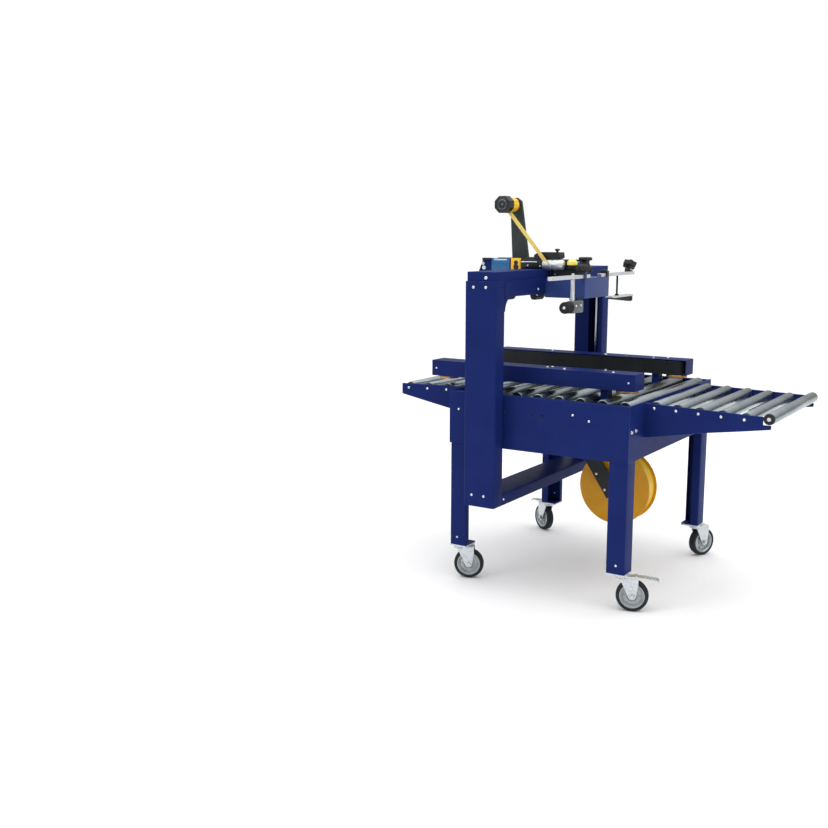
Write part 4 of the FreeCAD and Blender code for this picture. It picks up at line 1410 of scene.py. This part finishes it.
@dataclass
class LowerHead:
    """The lower tape head with its bracket, and the reel of tape that it carries."""

    reel_x: float = 130.0
    reel_z: float = 305.0
    reel_r: float = 124.0
    half: float = 36.0
    core: float = 38.0

    def frame_plates(self) -> None:
        """The head's plates and rails, the reel's bracket and its screws."""
        show(Shape.cad("lower_head_frame"), "lower_plates", "frame", [BLACK, BLACK_EDGE_SHEEN_AND_WEAR],
             ["lower_head_frame"], edge=0.6, sheen_and_wear_slot=1)
        rods = Shape.cad("guide_rods")
        show(rods, "cross_rods", "frame", [ROD], ["guide_rods"], edge=0.8)
        made = Shape()
        for x, z in ((73, 348), (104, 297), (0, 520), (0, 500)):
            made.add(screw((x, -53, z), (0, -1, 0), 4.8))
        made.add(screw((self.reel_x, -53, self.reel_z), (0, -1, 0), 8.0, Head.HEX))
        show(made, "bracket_screws", "frame", [SCREW], edge=0.0)

    def reel(self) -> None:
        """A spool of tape: two amber flanges, the bright winding and the core."""
        at = (self.reel_x, 0, self.reel_z)
        r, half = self.reel_r, self.half
        made = Shape()
        for sign in (-1, 1):
            profile = ((self.core, half - 4), (self.core, half - 0.6), (self.core + 2, half - 0.2),
                       (self.core + 6, half - 1.2), (r - 9, half - 1.2), (r - 6, half - 0.2),
                       (r - 1.2, half - 0.2), (r, half - 1.4), (r, half - 4.6),
                       (r - 1.2, half - 5.6), (self.core, half - 5.6))
            made.add(Shape.lathe(Axis.Y, at, pointed(profile, sign), 0, 96, True))
        made.add(Shape.lathe(Axis.Y, at, ((self.core, -half + 5), (r - 9, -half + 5),
                                          (r - 8.4, 0), (r - 9, half - 5),
                                          (self.core, half - 5)), 1, 96, True))
        show(made, "tape_spool", "tape_reel", [FLANGE, WINDING], ["tape_reel"],
             edge=0.0)
        hub = ((12.2, -35.4), (18, -35.4), (20, -33), (20, -8), (24, -5), (self.core - 0.2, -5),
               (self.core - 0.2, 5), (24, 5), (20, 8), (20, 33), (18, 35.4), (12.2, 35.4))
        made = Shape.lathe(Axis.Y, at, hub, 0, 56, ring=True)
        for turn in range(3):
            web = Shape.block((19, self.core - 0.6), (-26, 26), (-2, 2), 1.0)
            made.add(web.turn(120 * turn, Axis.Y).move(self.reel_x, 0, self.reel_z))
        show(made, "spool_hub", "tape_reel", [KNOB], edge=0.0)

    def build(self) -> None:
        """Build and dress all of it."""
        self.frame_plates()
        self.reel()


# ------------------------------------------------------------------------- studio

@dataclass
class Studio:
    """A pale floor, soft lights and the camera."""

    eye: Point = (1.4174, -3.2689, 1.1378)
    tilt: Point = (80.373, 0.0, 33.655)
    lens: float = 45.75

    def floor(self) -> None:
        """A wide pale floor."""
        bm = bmesh.new()
        bmesh.ops.create_grid(bm, x_segments=1, y_segments=1, size=30.0)
        mesh = bpy.data.meshes.new("floor")
        bm.to_mesh(mesh)
        bm.free()
        mesh.materials.append(FLOOR.material())
        floor = bpy.data.objects.new("floor", mesh)
        bpy.context.scene.collection.objects.link(floor)

    def light(self, name: str, at: Point, size: Pair, watts: float) -> None:
        """A soft rectangular light that faces the machine's middle."""
        data = bpy.data.lights.new(name, "AREA")
        data.shape = "RECTANGLE"
        data.size, data.size_y = size
        data.energy = watts
        lamp = bpy.data.objects.new(name, data)
        lamp.location = at
        lamp.rotation_euler = (Vector((0, 0, 0.6)) - Vector(at)).to_track_quat("-Z", "Y").to_euler()
        bpy.context.scene.collection.objects.link(lamp)

    def sky(self) -> None:
        """A white backdrop that lights the machine from above more than from the sides."""
        world = bpy.data.worlds.new("studio")
        world.use_nodes = True
        tree = world.node_tree
        backdrop = tree.nodes["Background"]
        place = tree.nodes.new("ShaderNodeTexCoord").outputs["Generated"]
        height = tree.nodes.new("ShaderNodeSeparateXYZ")
        tree.links.new(place, height.inputs[0])
        fade = tree.nodes.new("ShaderNodeMapRange")
        tree.links.new(height.outputs["Z"], fade.inputs["Value"])
        for name, number in (("From Min", 0.0), ("From Max", 0.8), ("To Min", 0.3),
                             ("To Max", 1.35)):
            fade.inputs[name].default_value = number
        seen = tree.nodes.new("ShaderNodeMath")
        seen.operation = "MAXIMUM"
        tree.links.new(fade.outputs[0], seen.inputs[0])
        tree.links.new(tree.nodes.new("ShaderNodeLightPath").outputs["Is Camera Ray"],
                       seen.inputs[1])
        tree.links.new(seen.outputs[0], backdrop.inputs["Strength"])
        backdrop.inputs["Color"].default_value = (1.0, 1.0, 1.0, 1.0)
        bpy.context.scene.world = world

    def build(self) -> None:
        """Build the studio and place the camera."""
        self.floor()
        self.light("overhead", (0.4, 0.2, 4.2), (4.5, 4.5), 60)
        self.light("right", (4.2, -0.6, 2.4), (2.6, 3.0), 22)
        self.light("front", (-2.4, -4.4, 2.8), (2.0, 1.6), 30)
        self.sky()
        bpy.context.scene.view_settings.view_transform = "Standard"
        data = bpy.data.cameras.new("camera")
        data.lens, data.sensor_width = self.lens, 36.0
        camera = bpy.data.objects.new("camera", data)
        camera.location = self.eye
        camera.rotation_euler = [math.radians(angle) for angle in self.tilt]
        bpy.context.scene.collection.objects.link(camera)
        bpy.context.scene.camera = camera


def main() -> None:
    """Build every assembly in order."""
    logging.basicConfig(level=logging.INFO, format="%(message)s")
    assemblies = [Bed(), Wings(), RollerBed(), Casters(), Portal(), UpperHead(), TapeSupply(),
                  ClampKnob(), HoldDown(), TapeArms(), BeltUnit("front", FRONT),
                  BeltUnit("rear", REAR), LowerHead(), Studio()]
    for assembly in assemblies:
        log.info("building %s", type(assembly).__name__)
        assembly.build()


if __name__ == "__main__":
    main()
